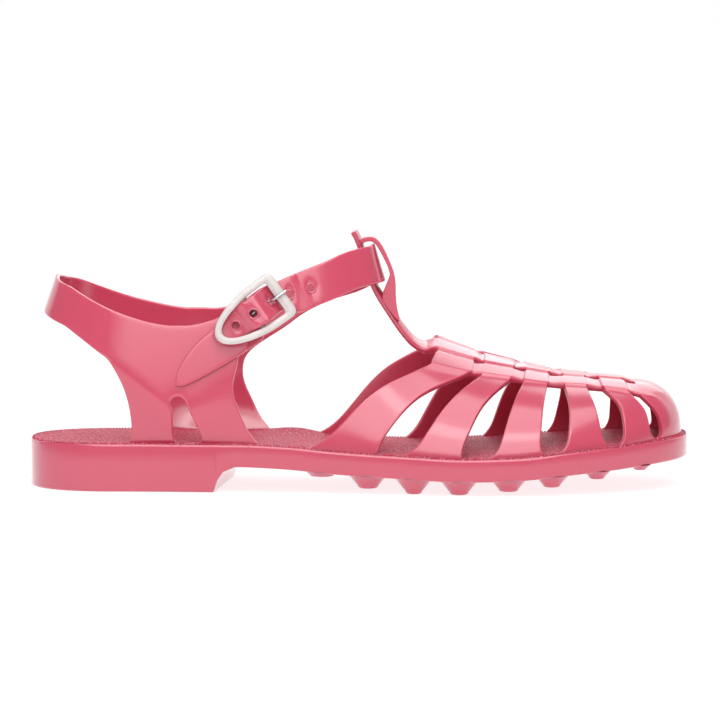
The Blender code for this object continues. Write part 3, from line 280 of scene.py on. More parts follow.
# T-bar above the vamp: shares of the length and of the back height
TBAR = {
    "along": (0.606, 0.586, 0.566, 0.545, 0.529, 0.519, 0.510, 0.502, 0.4945, 0.491),
    "shift": (1.00, 0.95, 0.80, 0.60, 0.42, 0.30, 0.22, 0.20, 0.20, 0.20),
    "height": (0.636, 0.670, 0.740, 0.835, 0.912, 0.975, 1.053, 1.132, 1.189, 1.206),
}

# Keeper outline beside the T-bar: shares of the length and of the back height
KEEPER = {
    "along": (0.5605, 0.562, 0.556, 0.5555, 0.5475, 0.534, 0.522, 0.508, 0.4990,
              0.5020, 0.510, 0.5200, 0.5285, 0.5480, 0.5435, 0.5325, 0.5435),
    "height": (0.770, 0.788, 0.855, 0.985, 1.055, 1.145, 1.180, 1.176, 1.160,
               1.140, 1.154, 1.157, 1.130, 1.010, 0.968, 0.890, 0.838),
}

# Heel band: place along the length, top and bottom as shares of the back height, front to back
BAND = {
    "along": (0.3217, 0.2830, 0.2450, 0.2180, 0.1750, 0.1300, 0.0900, 0.0620),
    "top": (0.860, 0.800, 0.775, 0.775, 0.800, 0.848, 0.905, 0.950),
    "bottom": (0.600, 0.510, 0.436, 0.436, 0.530, 0.615, 0.705, 0.765),
}
BACK_BOTTOM = 0.832

# Leg edges as shares of the length, by height above the sole
LEGS = {
    "height": (1.00, 0.70, 0.40, 0.15, 0.00),
    "front_leg_front": (0.3217, 0.3128, 0.3244, 0.3372, 0.3520),
    "front_leg_rear": (0.2423, 0.2523, 0.2612, 0.2665, 0.2660),
    "rear_leg_front": (0.2229, 0.2233, 0.2236, 0.2248, 0.2290),
    "rear_leg_rear": (0.1291, 0.1500, 0.1600, 0.1625, 0.1570),
}

# Ankle strap: place along the length, middle height and width as shares
STRAP_INNER = {
    "along": (0.362, 0.405, 0.450, 0.495, 0.527),
    "middle": (0.815, 0.885, 0.945, 0.990, 1.030),
    "width": (1.28, 1.05, 1.00, 1.00, 1.00),
}
STRAP_FRONT = 1.055
STRAP_OUTER = {
    "along": (0.527, 0.497, 0.462, 0.427),
    "middle": (1.045, 1.028, 0.985, 0.945),
    "width": (1.00, 1.00, 1.00, 1.00),
}

# Strap through the buckle: place as a share of the way from the bar to the front bar or to the far end,
# shift across in strap widths, height as a share of the named level, and width in tip widths
STRAP_STACK = {
    "place": (-1.321, -1.071, -0.821, -0.679, -0.420, -0.214, 0.071, 0.350, 0.520, 0.750, 0.871, 0.982,
              1.053),
    "shift": (-0.270, -0.150, -0.035) + (0.0,) * 10,
    "level": ("strap_front",) * 4 + ("hump",) * 4 + ("strap_end",) * 5,
    "share": (0.30, 0.80, 1.00, 1.00, 0.60, 1.00, 1.00, 0.62, 1.04, 1.00, 1.00, 1.00, 1.00),
    "width": (1.32, 1.18, 1.00, 1.00, 1.00, 1.00, 0.99, 0.92, 0.90, 0.83, 0.73, 0.57, 0.33),
}

# Tab before and after its loop: place in frame lengths, height as a share of its end's level, and its
# lower and upper edge in strap widths
TAB_ROOT = {
    "place": (0.403, 0.194, 0.071, 0.039),
    "share": (0.00, 0.05, 0.20, 0.30),
    "low": (-0.715, -0.735, -0.740, -0.388),
    "high": (0.272, 0.306, 0.340, 0.388),
}
TAB_TONGUE = {
    "place": (0.161, 0.252, 0.303, 0.419, 0.645, 0.839, 1.000, 1.129, 1.226, 1.284),
    "share": (1.35, 1.06) + (1.00,) * 8,
    "low": (-0.388, -0.388, -0.715, -0.710, -0.680, -0.640, -0.600, -0.560, -0.520, -0.430),
    "high": (0.388, 0.388, 0.272, 0.272, 0.245, 0.190, 0.095, -0.041, -0.177, -0.290),
}

# Prong: angles of its eye round the bar, its rise through the hole and its rest on the front bar, with
# places in shares of the way from the bar to the front bar and the rise's heights in humps
PRONG_EYE = range(200, -141, -20)
PRONG_RISE = {"place": (-0.40, -0.50, -0.60), "share": (0.22, 0.36, 0.66)}
PRONG_REST = {"place": (-0.70, -0.85, -1.02857), "lift": (0.0, 0.0001, 0.0)}

# Round end of a tube: shares of its radius, across and along
TUBE_END = {"radius": (0.02, 0.7, 0.95, 1.0), "along": (0.0, 0.12, 0.45, 1.0)}


def linear(colour):
    """Turn an sRGB hex colour such as "#DC6A7E" to linear red, green and blue."""
    channels = [int(colour[k:k + 2], 16) / 255 for k in (1, 3, 5)]
    return tuple(c / 12.92 if c <= 0.04045 else ((c + 0.055) / 1.055) ** 2.4 for c in channels)


def length_of(name, description, default):
    """Property that holds a length in metres."""
    return bpy.props.FloatProperty(name=name, description=description, default=default, unit="LENGTH")


def colour_of(name, description, default):
    """Property that holds a colour, given as sRGB hex."""
    return bpy.props.FloatVectorProperty(
        name=name, description=description, default=linear(default), size=3, subtype="COLOR")


class SandalSizes(bpy.types.PropertyGroup):
    """Sizes of the sandal's fine surfaces."""

    wall: length_of("Strap wall", "Thickness of a strap", 0.0020)
    weave: length_of("Weave", "How far a crossing strip stands out", 0.0009)
    quarter_wall: length_of("Quarter wall", "Thickness of the heel band", 0.0018)
    soft_edge: length_of("Soft edge", "Width of a moulded edge's rounding", 0.0006)
    sole_edge: length_of("Sole edge", "Rounding along the sole's edges", 0.0011)
    hole_radius: length_of("Hole radius", "Radius of a strap hole", 0.00145)
    prong_radius: length_of("Prong radius", "Half of the wire's thickness", 0.0006)
    grain: length_of("Grain", "Width of one pebble of the footbed", 0.0012)
    smoothing: bpy.props.IntProperty(
        name="Smoothing", description="Subdivision levels of the moulded pieces", default=2, min=0, max=3)


class SandalColours(bpy.types.PropertyGroup):
    """Colours of the sandal's materials."""

    pvc: colour_of("PVC", "Pink of the moulding", "#CC4C66")
    # Footbed grain: a painted highlight colour for the pebble tops and a painted shade colour for the
    # valleys between them
    pebble_top_painted_highlight: colour_of("Grain tops", "Tops of the pebbles", "#F890A0")
    valley_painted_shade: colour_of("Grain valleys", "Valleys of the grain", "#C03050")
    milky: colour_of("Buckle", "Milky plastic", "#D4CCCA")
    steel: colour_of("Prong", "Steel wire", "#C4C4C8")
    floor: colour_of("Floor", "Studio floor", "#909090")


def smooth(x, xs, ys):
    """Read at x a piecewise cubic through (xs, ys).

    Each tangent is the harmonic mean of its two slopes, so the curve never overshoots its points.
    """
    xs, ys, x = np.asarray(xs, float), np.asarray(ys, float), np.asarray(x, float)
    step = np.diff(xs)
    slope = np.diff(ys) / step
    product = slope[:-1] * slope[1:]
    total = np.abs(slope[:-1]) + np.abs(slope[1:])
    middle = np.where(product > 0, 2 * product / np.where(total > 0, total, 1), 0) * np.sign(slope[:-1])
    tangent = np.concatenate(([slope[0]], middle, [slope[-1]]))
    x = np.clip(x, xs[0], xs[-1])
    index = np.clip(np.searchsorted(xs, x) - 1, 0, len(step) - 1)
    t = (x - xs[index]) / step[index]
    return (ys[index] * (1 + 2 * t) * (1 - t) ** 2 + ys[index + 1] * t * t * (3 - 2 * t)
            + step[index] * (tangent[index] * t * (1 - t) ** 2 - tangent[index + 1] * t * t * (1 - t)))


def read(table, key, along):
    """Column of a table, read at places along the length."""
    return smooth(along, table["along"], table[key])


def run_along(line):
    """Distance along a line of points from its first one."""
    return np.concatenate(([0.0], np.cumsum(np.linalg.norm(np.diff(line, axis=0), axis=1))))


def unit(vectors):
    """Rows of vectors, each one scaled to length one."""
    return vectors / np.linalg.norm(vectors, axis=1)[:, None]


def circle(count):
    """Angles of a full turn in equal steps."""
    return np.linspace(0, 2 * math.pi, count, endpoint=False)


def to_x(along):
    """X of a place given as a share of the length from the heel."""
    return np.asarray(along, float) * LENGTH - HALF


def to_along(x):
    """Share of the length from the heel, from X."""
    return (np.asarray(x, float) + HALF) / LENGTH


def grid_faces(rows, columns, closed_rows=False, closed_columns=False):
    """Quads of a grid of points numbered row by row, joined end to start where it is closed."""
    r = np.arange(rows if closed_rows else rows - 1)[:, None]
    c = np.arange(columns if closed_columns else columns - 1)[None, :]
    after_r, after_c = (r + 1) % rows, (c + 1) % columns
    corners = (r * columns + c, r * columns + after_c, after_r * columns + after_c, after_r * columns + c)
    return np.stack(np.broadcast_arrays(*corners), axis=-1).reshape(-1, 4)


def closed_shell(rings, joined=False):
    """Shell of rings of points, each joined to the next, and the last to the first where joined is true."""
    return rings, grid_faces(rings.shape[0], rings.shape[1], joined, True)


def new_piece(name, points, faces, material):
    """Smooth mesh object with its material, linked to the scene."""
    mesh = bpy.data.meshes.new(name)
    mesh.from_pydata(points.tolist(), [], faces)
    mesh.shade_smooth()
    mesh.materials.append(material)
    piece = bpy.data.objects.new(name, mesh)
    bpy.context.scene.collection.objects.link(piece)
    return piece


def mesh_piece(name, shells, material, sharp=50.0):
    """Make a mesh object from shells of (points, faces), merged at doubled points, faces outward."""
    points, faces, start = [], [], 0
    for shell_points, shell_faces in shells:
        flat = np.asarray(shell_points, float).reshape(-1, 3)
        points.append(flat)
        faces += [[index + start for index in face] for face in shell_faces]
        start += len(flat)
    piece = new_piece(name, np.concatenate(points), faces, material)
    shape = bmesh.new()
    shape.from_mesh(piece.data)
    bmesh.ops.remove_doubles(shape, verts=shape.verts, dist=MERGE)
    bmesh.ops.recalc_face_normals(shape, faces=shape.faces)
    shape.to_mesh(piece.data)
    shape.free()
    piece.data.set_sharp_from_angle(angle=math.radians(sharp))
    return piece


def sheet_piece(name, points, cells, raised, wall, offset, material, level):
    """A moulded wall on a grid of points: an open sheet, thickened by Solidify and rounded by Subdivision.

    cells says which quads of the grid are there. raised is a pair, the mask of the points where the wall
    is at its full thickness and the share of it elsewhere, or None.
    """
    count = points.shape[1]
    quads = grid_faces(points.shape[0], count)[cells.reshape(-1)][:, ::-1]
    used = np.unique(quads)
    place = np.zeros(points.shape[0] * count, int)
    place[used] = np.arange(len(used))
    piece = new_piece(name, points.reshape(-1, 3)[used], place[quads].tolist(), material)
    solid = piece.modifiers.new("Wall", "SOLIDIFY")
    solid.thickness = wall
    solid.offset = offset
    solid.use_even_offset = False
    if raised is not None:
        mask, rest = raised
        group = piece.vertex_groups.new(name="raised")
        full = mask.reshape(-1)[used]
        group.add(np.flatnonzero(full).tolist(), 1.0, "REPLACE")
        group.add(np.flatnonzero(~full).tolist(), rest, "REPLACE")
        solid.vertex_group = "raised"
    soft = piece.modifiers.new("Soft edges", "SUBSURF")
    soft.levels = level
    soft.render_levels = level
    return piece


# The sole

def end_rounding(along):
    """Share of the width left where the outline rounds off: a superellipse at the heel and at the toe."""
    from_heel = np.clip(1 - np.asarray(along) * LENGTH / HEEL_ROUND, 0, 1)
    from_toe = np.clip(1 - (1 - np.asarray(along)) * LENGTH / TOE_ROUND, 0, 1)
    return (1 - from_heel ** HEEL_POWER) ** (1 / HEEL_POWER) * (1 - from_toe ** TOE_POWER) ** (1 / TOE_POWER)


def sole_edge(along, side):
    """Y of the sole's edge: the outline's middle plus side times its half width, rounded at the ends."""
    outer, inner = (read(OUTLINE, key, along) for key in ("outer", "inner"))
    return BALL_WIDTH * ((inner - outer) / 2 + side * (inner + outer) / 2 * end_rounding(along))


def underside(along):
    """Height of the underside: the lugs' height plus shares of the heel's and the toe's lift."""
    heel, toe = (read(UNDERSIDE, key, along) for key in ("heel", "toe"))
    return LUG_HEIGHT + heel * (HEEL_LIFT - LUG_HEIGHT) + toe * (TOE_LIFT - LUG_HEIGHT)


def sole_top(along):
    """Height of the sole's top face: its side wall over the underside."""
    return underside(along) + SOLE_SIDE


def breast_height(along):
    """Height of the bottom face: on the floor under the heel, then up the breast to the underside."""
    run = (np.asarray(along) - BREAST_START) * LENGTH / BREAST_RUN
    return np.interp(run, BREAST["run"], BREAST["lift"]) * underside(along)


def stations():
    """Places along the sole, on cosine spacing at both ends and on the breast's own corners."""
    heel = BREAST_START * (1 - np.cos(np.linspace(0, math.pi / 2, COUNT["heel"])))
    breast = BREAST_START + np.array(BREAST_STEPS) * BREAST_RUN / LENGTH
    front = breast[-1] + (1 - breast[-1]) * np.sin(np.linspace(0, math.pi / 2, COUNT["toe"])[1:])
    return np.concatenate((heel, breast, front))


def plan_edges(inset):
    """Outer and inner edge of the sole in plan, moved in along their normals by inset."""
    along = stations()
    skew = BREAST_SKEW / 2 / LENGTH * np.exp(-((along - BREAST_START) / SKEW_REACH) ** 2)
    skew = skew * np.sin(np.clip(along / SKEW_FADE, 0, 1) * math.pi / 2)
    edges = []
    for side in (-1, 1):
        place = along + side * skew
        edges.append(np.stack((to_x(place), sole_edge(place, side)), axis=1))
    loop = np.concatenate((edges[0], edges[1][-2:0:-1]))
    ahead = unit(np.roll(loop, -1, axis=0) - np.roll(loop, 1, axis=0))
    loop = loop + inset * np.stack((-ahead[:, 1], ahead[:, 0]), axis=1)
    count = len(along)
    inner = np.concatenate((loop[:1], loop[count:][::-1], loop[count - 1:count]))
    return loop[:count], inner


def with_height(plan, height):
    """Plan points with a height each."""
    return np.concatenate((plan, np.broadcast_to(height, plan.shape[:-1])[..., None]), axis=-1)


def arch_bump(x, y):
    """Rise of the footbed under the arch: a Gaussian along x that falls off squarely across."""
    near = np.clip(1 - (sole_edge(to_along(x), 1) - ARCH_MARGIN - y) / (BALL_WIDTH * ARCH_SIDE), 0, 1)
    return ARCH_RISE * np.exp(-((x - to_x(ARCH_ALONG)) / (LENGTH * ARCH_RUN)) ** 2) * near ** 2


def across_grid(inset, shares):
    """Plan points between the two edges, at the given shares from the outer to the inner one."""
    outer, inner = plan_edges(inset)
    return outer[:, None] + (inner - outer)[:, None] * np.asarray(shares)[None, :, None]


def sole_shell(edge):
    """Closed sole: at each station a loop of bottom, outer wall, top and inner wall.

    The wall's corners are quarter circles of radius edge, worked out as insets of the plan outline.
    """
    along = stations()
    shares = np.linspace(0, 1, COUNT["sole_across"])
    turn = np.linspace(0, math.pi / 2, COUNT["corner"])
    floor = breast_height(along)
    bottom = with_height(across_grid(edge, shares[::-1]), floor[:, None])
    corners = [(edge * (1 - math.sin(t)), edge * (1 - math.cos(t)), False) for t in turn]
    corners += [(edge * (1 - math.cos(t)), -edge * (1 - math.sin(t)), True) for t in turn]
    walls = []
    for inset, lift, from_top in corners:
        walls.append([with_height(plan, lift + (sole_top(to_along(plan[:, 0])) if from_top else floor))
                      for plan in plan_edges(inset)])
    plan = across_grid(edge, shares)
    top = with_height(plan, sole_top(to_along(plan[..., 0])))
    outer_wall = np.stack([w[0] for w in walls], axis=1)
    inner_wall = np.stack([w[1] for w in walls[::-1]], axis=1)
    return closed_shell(np.concatenate((bottom, outer_wall, top, inner_wall), axis=1))


def lug_shells():
    """Lugs as surfaces of revolution: a sloped side, an arc at the rim and a flat tip, in rows across."""
    shells = []
    turn = circle(COUNT["lug_turn"])
    bend = np.linspace(0, 1, COUNT["lug_rim"])
    for along, top, reach in zip(LUGS["along"], LUGS["top"], LUGS["reach"]):
        level = float(underside(along))
        radius = top * BALL_WIDTH / 2
        depth = level * reach
        rim = min(LUG_RIM, depth / 3)
        tip = radius - depth * LUG_SLOPE
        rim_radius = tip + rim * LUG_SLOPE - rim * (LUG_SLOPE + LUG_TIP) * bend ** LUG_BEND
        rim_depth = depth - rim * (1 - bend) ** 2
        radii = np.concatenate((radius + np.array(LUG_SKIRT["out"]), rim_radius, [LUG_POINT]))
        skirt = np.minimum(LUG_SKIRT["down"], depth / 2)
        depths = np.concatenate((skirt, rim_depth, [depth]))[:, None]
        inset = radius + LUG_ROOT * LUG_SLOPE + LUG_MARGIN
        for y in np.linspace(sole_edge(along, -1) + inset, sole_edge(along, 1) - inset, LUGS_IN_ROW):
            x = float(to_x(along)) + radii[:, None] * np.cos(turn)
            y = y + radii[:, None] * np.sin(turn)
            shells.append(closed_shell(np.stack(np.broadcast_arrays(x, y, level - depths), axis=-1)))
    return shells


def footbed_shell():
    """Grained footbed: a thin closed slab on the sole's top, with the bump under the arch."""
    shares = np.linspace(0, 1, COUNT["footbed_across"])
    plan = across_grid(FOOTBED_INSET, shares)
    base = sole_top(to_along(plan[..., 0]))
    lift = np.where((shares == 0) | (shares == 1), -FOOTBED_RIM, FOOTBED_RISE)
    upper = with_height(plan, base + arch_bump(plan[..., 0], plan[..., 1]) + lift)
    lower = with_height(plan[:, ::-1], base[:, ::-1] - FOOTBED_DEPTH)
    return closed_shell(np.concatenate((upper, lower), axis=1))


def bead_shells(pitch):
    """Row of small domes along the sole's top edge: a hexagon with a raised middle at each equal step."""
    outer, inner = plan_edges(FOOTBED_INSET)
    line = np.concatenate((outer, inner[-2:0:-1], outer[:1]))
    length = run_along(line)
    place = np.arange(0, length[-1], pitch)
    x, y = (np.interp(place, length, line[:, k])[:, None] for k in (0, 1))
    turn = circle(COUNT["bead"])
    base = sole_top(to_along(x))
    rings = [np.broadcast_arrays(x + share * pitch * np.cos(turn), y + share * pitch * np.sin(turn),
                                 base + lift) for share, lift in zip(BEAD["radius"], BEAD["lift"])]
    beads = np.moveaxis(np.array(rings), (1, 2), (3, 0))
    faces = grid_faces(beads.shape[1], len(turn), closed_columns=True)
    first = beads.shape[1] * len(turn) * np.arange(len(place))
    return [(beads, (faces[None] + first[:, None, None]).reshape(-1, 4))]


# The vamp

def inset_edge(x, side, inset):
    """Y at x of a line that runs at a fixed distance inside the sole's edge."""
    along = (1 - np.cos(np.linspace(0, math.pi, COUNT["edge_line"]))) / 2
    line = np.stack((to_x(along), sole_edge(along, side)), axis=1)
    ahead = unit(np.gradient(line, axis=0))
    line -= side * inset * np.stack((-ahead[:, 1], ahead[:, 0]), axis=1)
    return np.interp(x, line[:, 0], line[:, 1])


def feet_y(x, inward, inset):
    """Y at x of the inset edge on the outer side, or on the inner side where inward is true."""
    return np.where(inward, inset_edge(x, 1, inset), inset_edge(x, -1, inset))


def section(x, row_angle, row_cross, is_strand, wall):
    """Point on the vamp's inner surface: a superellipse in section, from the sole's edge to the ridge."""
    along = to_along(x)
    base = sole_top(along)
    height = read(RIDGE, "height", along) * INSTEP_HEIGHT - wall - base
    power = read(RIDGE, "square", along)
    crest = read(RIDGE, "crest", along) * BALL_WIDTH
    side = np.where(row_cross < 0, -1.0, 1.0)
    inset = EDGE_INSET + wall
    edge = feet_y(x, row_cross >= 0, inset)
    start = RIDGE_SHIFT + side * STRAND_EDGES["low"] * BALL_WIDTH
    low = np.minimum((start - crest) / (edge - crest), LOW_LIMIT)
    angle = row_angle * np.arccos(low ** (power / 2))
    on_strand = RIDGE_SHIFT + row_cross * BALL_WIDTH
    y = np.where(is_strand, on_strand, crest + (edge - crest) * np.cos(angle) ** (2 / power))
    end = feet_y(x, on_strand >= crest, inset)
    cross = np.minimum(np.abs((on_strand - crest) / (end - crest)), LOW_LIMIT)
    rise = np.where(is_strand, (1 - cross ** power) ** (1 / power), np.sin(angle) ** (2 / power))
    return np.stack(np.broadcast_arrays(x, y, base + height * rise), axis=-1)


def vamp_rows(edge):
    """Rows across the vamp: angle share, offset across, strand row or not, strand number, inside it."""
    low, high, bar = (STRAND_EDGES[key] for key in ("low", "high", "bar"))
    step, soft = STRAND_STEP / BALL_WIDTH, edge / BALL_WIDTH
    half = [(share, -1.0, False, -1, False) for share in SIDE_ROWS[:-1]]
    half.append((SIDE_ROWS[-1], -1.0, False, 0, False))
    half += [(1.0, -place, True, 0, True)
             for place in (low, low - soft, (low + high) / 2, high + soft, high)]
    half += [(1.0, -high + step, True, 0, False), (1.0, -bar - step, True, 1, False),
             (1.0, -bar, True, 1, True), (1.0, -bar + soft, True, 1, True)]
    mirrored = [(a, -c, s, 2 if n == 0 else n, i) for a, c, s, n, i in half[::-1]]
    rows = half + [(1.0, 0.0, True, 1, True)] + mirrored
    return [np.array(column) for column in zip(*rows)]


def edge_x(places, shift, rows):
    """X of a strap's edge on each row, from its places at the sole, half way up, strand and ridge."""
    angle, cross, is_strand = rows[:3]
    share = 1 - np.abs(cross) / STRAND_EDGES["low"]
    on_strand = places[2] + (places[3] - places[2]) * share
    on_side = smooth(angle, (0, HALF_WAY, 1), places[:3]) + np.where(cross > 0, shift * (1 - angle), 0)
    return to_x(np.where(is_strand, on_strand, on_side))


def cap_columns(rear, wall):
    """Toe cap: from its rear edge forward and down to the sole on a superellipse."""
    inset = EDGE_INSET + wall
    turn = np.linspace(-1, 1, len(rear))
    tip = HALF - inset
    x = tip - (tip - rear[0, 0]) * np.abs(turn) ** CAP_SWEEP
    foot = np.stack((x, feet_y(x, turn >= 0, inset)), axis=1)
    foot[len(rear) // 2, 1] = (inset_edge(tip, -1, inset) + inset_edge(tip, 1, inset)) / 2
    foot[0], foot[-1] = rear[0, :2], rear[-1, :2]
    base = sole_top(to_along(foot[:, 0]))
    columns = []
    for step in CAP_STEPS:
        reach = 1 - (1 - step) ** CAP_EASE
        plan = rear[:, :2] + (foot - rear[:, :2]) * reach
        drop = (1 - reach ** CAP_FULLNESS) ** (1 / CAP_FULLNESS)
        columns.append(np.column_stack((plan, base + (rear[:, 2] - base) * drop)))
    return columns


def tbar_columns(first, strand):
    """Columns of the T-bar on the middle strand's rows, crowned across, from the tab to the vamp."""
    keys = np.arange(len(TBAR["along"]))
    number = np.linspace(keys[-1], 0, COUNT["tbar"])
    x, shift, z = (smooth(number, keys, TBAR[key]) for key in ("along", "shift", "height"))
    rows = np.flatnonzero(strand == 1)
    across = (first[rows, 1] - RIDGE_SHIFT) / (STRAND_EDGES["bar"] * BALL_WIDTH)
    crown = BAR_CROWN * across ** 2
    columns = np.repeat(first[None], len(number), axis=0)
    columns[:, rows, 0] = to_x(x)[:, None] - crown
    columns[:, rows, 1] = RIDGE_SHIFT * shift[:, None] + across * TBAR_WIDTH / 2
    roll = BAR_ROLL * across * np.maximum(0, 1 - number[:, None] / ROLL_KEYS)
    drop = crown * np.minimum(1, (number[:, None] + 1) / CROWN_KEYS)
    columns[:, rows, 2] = z[:, None] * BACK_HEIGHT - drop + roll
    return columns


def strap_columns(rows, edge):
    """X on every row of each strap's columns, with the strap each belongs to and whether it lies in it."""
    angle, _, is_strand = rows[:3]
    flare = FLARE * np.clip(1 - angle / FLARE_TOP, 0, 1) ** 2 * ~is_strand
    columns = []
    for strap in STRAPS:
        rear = edge_x(strap["rear"], strap["inner"], rows) - flare
        front = edge_x(strap["front"], strap["inner"], rows) + flare
        inside = [rear * (1 - share) + front * share for share in (COLUMN_SHARE, 1 - COLUMN_SHARE)]
        columns += [rear - STRAND_STEP, rear, rear + edge, *inside, front - edge, front, front + STRAND_STEP]
    each = len(columns) // len(STRAPS)
    columns.append(edge_x(CAP_REAR, 0, rows) - flare)
    strap_of = np.append(np.repeat(np.arange(len(STRAPS)), each), np.full(1 + len(CAP_STEPS), len(STRAPS)))
    in_strap = np.append(np.tile(np.arange(each) % (each - 1) > 0, len(STRAPS)),
                         np.full(1 + len(CAP_STEPS), True))
    return columns, strap_of, in_strap


def vamp_grid(wall, edge):
    """Points, cells and raised points of the vamp's inner surface, T-bar first.

    A strap is raised where it crosses over a strand, and the strand where it crosses over the strap.
    """
    rows = vamp_rows(edge)
    strand, in_strand = rows[3:]
    columns, strap_of, in_strap = strap_columns(rows, edge)
    grid = [section(x, *rows[:3], wall) for x in columns]
    points = np.array(grid + cap_columns(grid[-1], wall))
    cells = ((in_strap[:-1] & in_strap[1:] & (strap_of[:-1] == strap_of[1:]))[:, None]
             | (in_strand[:-1] & in_strand[1:] & (strand[:-1] == strand[1:]))[None, :])
    strand_over = (strap_of[:, None] + strand[None, :]) % 2 == 1
    crossing = (strand[None, :] >= 0) & (strap_of[:, None] < len(STRAPS))
    raised = crossing & np.where(strand_over, in_strand[None, :], in_strap[:, None])
    bar = tbar_columns(points[0], strand)
    bar_cells = np.zeros((len(bar), cells.shape[1]), bool)
    bar_cells[:, np.flatnonzero((strand[:-1] == 1) & (strand[1:] == 1))[1:-1]] = True
    bar_raised = np.zeros((len(bar), len(strand)), bool)
    bar_raised[-1] = raised[1]
    return with_feet(np.concatenate((bar, points)), np.concatenate((bar_cells, cells)),
                     np.concatenate((bar_raised, raised)))


def with_feet(points, cells, raised):
    """Carry the outermost rows and the last column down into the sole by the feet's depth."""
    down = np.array((0, 0, -FOOT_DEPTH))
    points = np.concatenate((points[:, :1] + down, points, points[:, -1:] + down), axis=1)
    points = np.concatenate((points, points[-1:] + down))
    cells = np.concatenate((cells[:, :1], cells, cells[:, -1:]), axis=1)
    cells = np.concatenate((cells, cells[-1:]))
    raised = np.pad(raised, ((0, 1), (1, 1)))
    return points, cells, raised


def keeper_shell():
    """Keeper: its side outline, with corners cut by quarters twice over, given depth across the foot."""
    outline = np.stack((to_x(KEEPER["along"]), np.array(KEEPER["height"]) * BACK_HEIGHT), axis=1)
    for _ in range(2):
        after = np.roll(outline, -1, axis=0)
        outline = np.stack((outline * 0.75 + after * 0.25, outline * 0.25 + after * 0.75), axis=1)
        outline = outline.reshape(-1, 2)
    middle = RIDGE_SHIFT * TBAR["shift"][-1]
    sides = [np.column_stack((outline[:, 0], np.full(len(outline), y), outline[:, 1]))
             for y in (middle - KEEPER_WIDTH / 2, middle + KEEPER_WIDTH / 2)]
    count = len(outline)
    walls = grid_faces(2, count, closed_columns=True).tolist()
    caps = [list(range(count)), list(range(2 * count - 1, count - 1, -1))]
    return np.concatenate(sides), walls + caps


# The quarter and the ankle strap

def ankle_plan():
    """Closed plan curve of the ankle: four quarters of superellipses, from the front round the heel."""
    front_middle, back_middle = to_x(ANKLE_MIDDLES)
    turn = np.linspace(0, math.pi / 2, COUNT["ankle_quarter"])
    power = 2 / ANKLE_POWER
    front_x = front_middle + (ANKLE_FRONT - front_middle) * np.cos(turn) ** power
    back_x = back_middle + (ANKLE_BACK - back_middle) * np.sin(turn) ** power
    y = -ANKLE_WIDTH / 2 * np.concatenate((np.sin(turn) ** power, np.cos(turn) ** power))
    outer = np.column_stack((np.concatenate((front_x, back_x)), y))
    return np.concatenate((outer, outer[-2:0:-1] * (1, -1), outer[:1]))


PLAN = ankle_plan()
PLAN_RUN = run_along(PLAN)
GIRTH = PLAN_RUN[-1]


def run_at(along):
    """Distance along the outer side of the ankle's plan curve, from its front to a place on the length."""
    half = len(PLAN) // 2 + 1
    return np.interp(-to_x(along), -PLAN[:half, 0], PLAN_RUN[:half])


def wrap(run, z, off=0.0):
    """Point on the ankle surface: the plan curve at run, moved out by off and in by a lean with height."""
    x, y, ahead_x, ahead_y, behind_x, behind_y = (
        np.interp(np.mod(run + step, GIRTH), PLAN_RUN, PLAN[:, axis])
        for step in (0, WRAP_STEP, -WRAP_STEP) for axis in (0, 1))
    dx, dy = ahead_x - behind_x, ahead_y - behind_y
    size = np.hypot(dx, dy)
    out_x, out_y = dy / size, -dx / size
    flip = np.where(out_x * (x - to_x(ANKLE_CENTRE)) + out_y * y < 0, -1, 1)
    out_x, out_y = out_x * flip, out_y * flip
    lean = SIDE_LEAN + (np.where(out_x > 0, FRONT_LEAN, BACK_LEAN) - SIDE_LEAN) * out_x ** 2
    shift = off - lean * (z - ANKLE_REF)
    return np.stack(np.broadcast_arrays(x + out_x * shift, y + out_y * shift, z), axis=-1)


def lay(s, w, off):
    """Point beside the buckle's bar: s toward the strap's tip, w across it, off outward."""
    s, w = np.asarray(s, float), np.asarray(w, float)
    run = run_at(to_along(BUCKLE_X)) + s * math.cos(BUCKLE_TILT) + w * math.sin(BUCKLE_TILT)
    z = BUCKLE_Z - s * math.sin(BUCKLE_TILT) + w * math.cos(BUCKLE_TILT)
    return wrap(run, z, off)


def leg_shares(edge):
    """Shares across a leg, with one close to each edge that keeps the edge's rounding small."""
    return np.array((0, edge / EDGE_SHARE, 0.25, 0.5, 0.75, 1 - edge / EDGE_SHARE, 1))


def side_band(place, inner, edge):
    """Rows of the heel band at places along one side, and how far the inner side's are moved forward."""
    keys = np.array(BAND["along"])
    number = np.interp(-place, -keys, np.arange(len(keys)))
    settle = np.minimum(number / SETTLE_KEYS, 1) * inner
    forward, rise = (settle * (1 - np.maximum(0, number - key) / FADE_KEYS)
                     for key in (ADVANCE_KEY, RISE_KEY))
    forward, rise = forward * INNER_ADVANCE / LENGTH, rise * INNER_RISE
    run = run_at(place + forward)
    top, bottom = (smooth(place, keys[::-1], BAND[key][::-1]) * BACK_HEIGHT for key in ("top", "bottom"))
    top, bottom = top + rise, bottom + rise / 2
    legs = len(leg_shares(edge))
    bottom[legs - 1:legs + 2] += GAP_ROUND * np.array((-1, 1.5, -1))
    return wrap((GIRTH - run if inner else run)[:, None], band_heights(top, bottom, edge)), forward


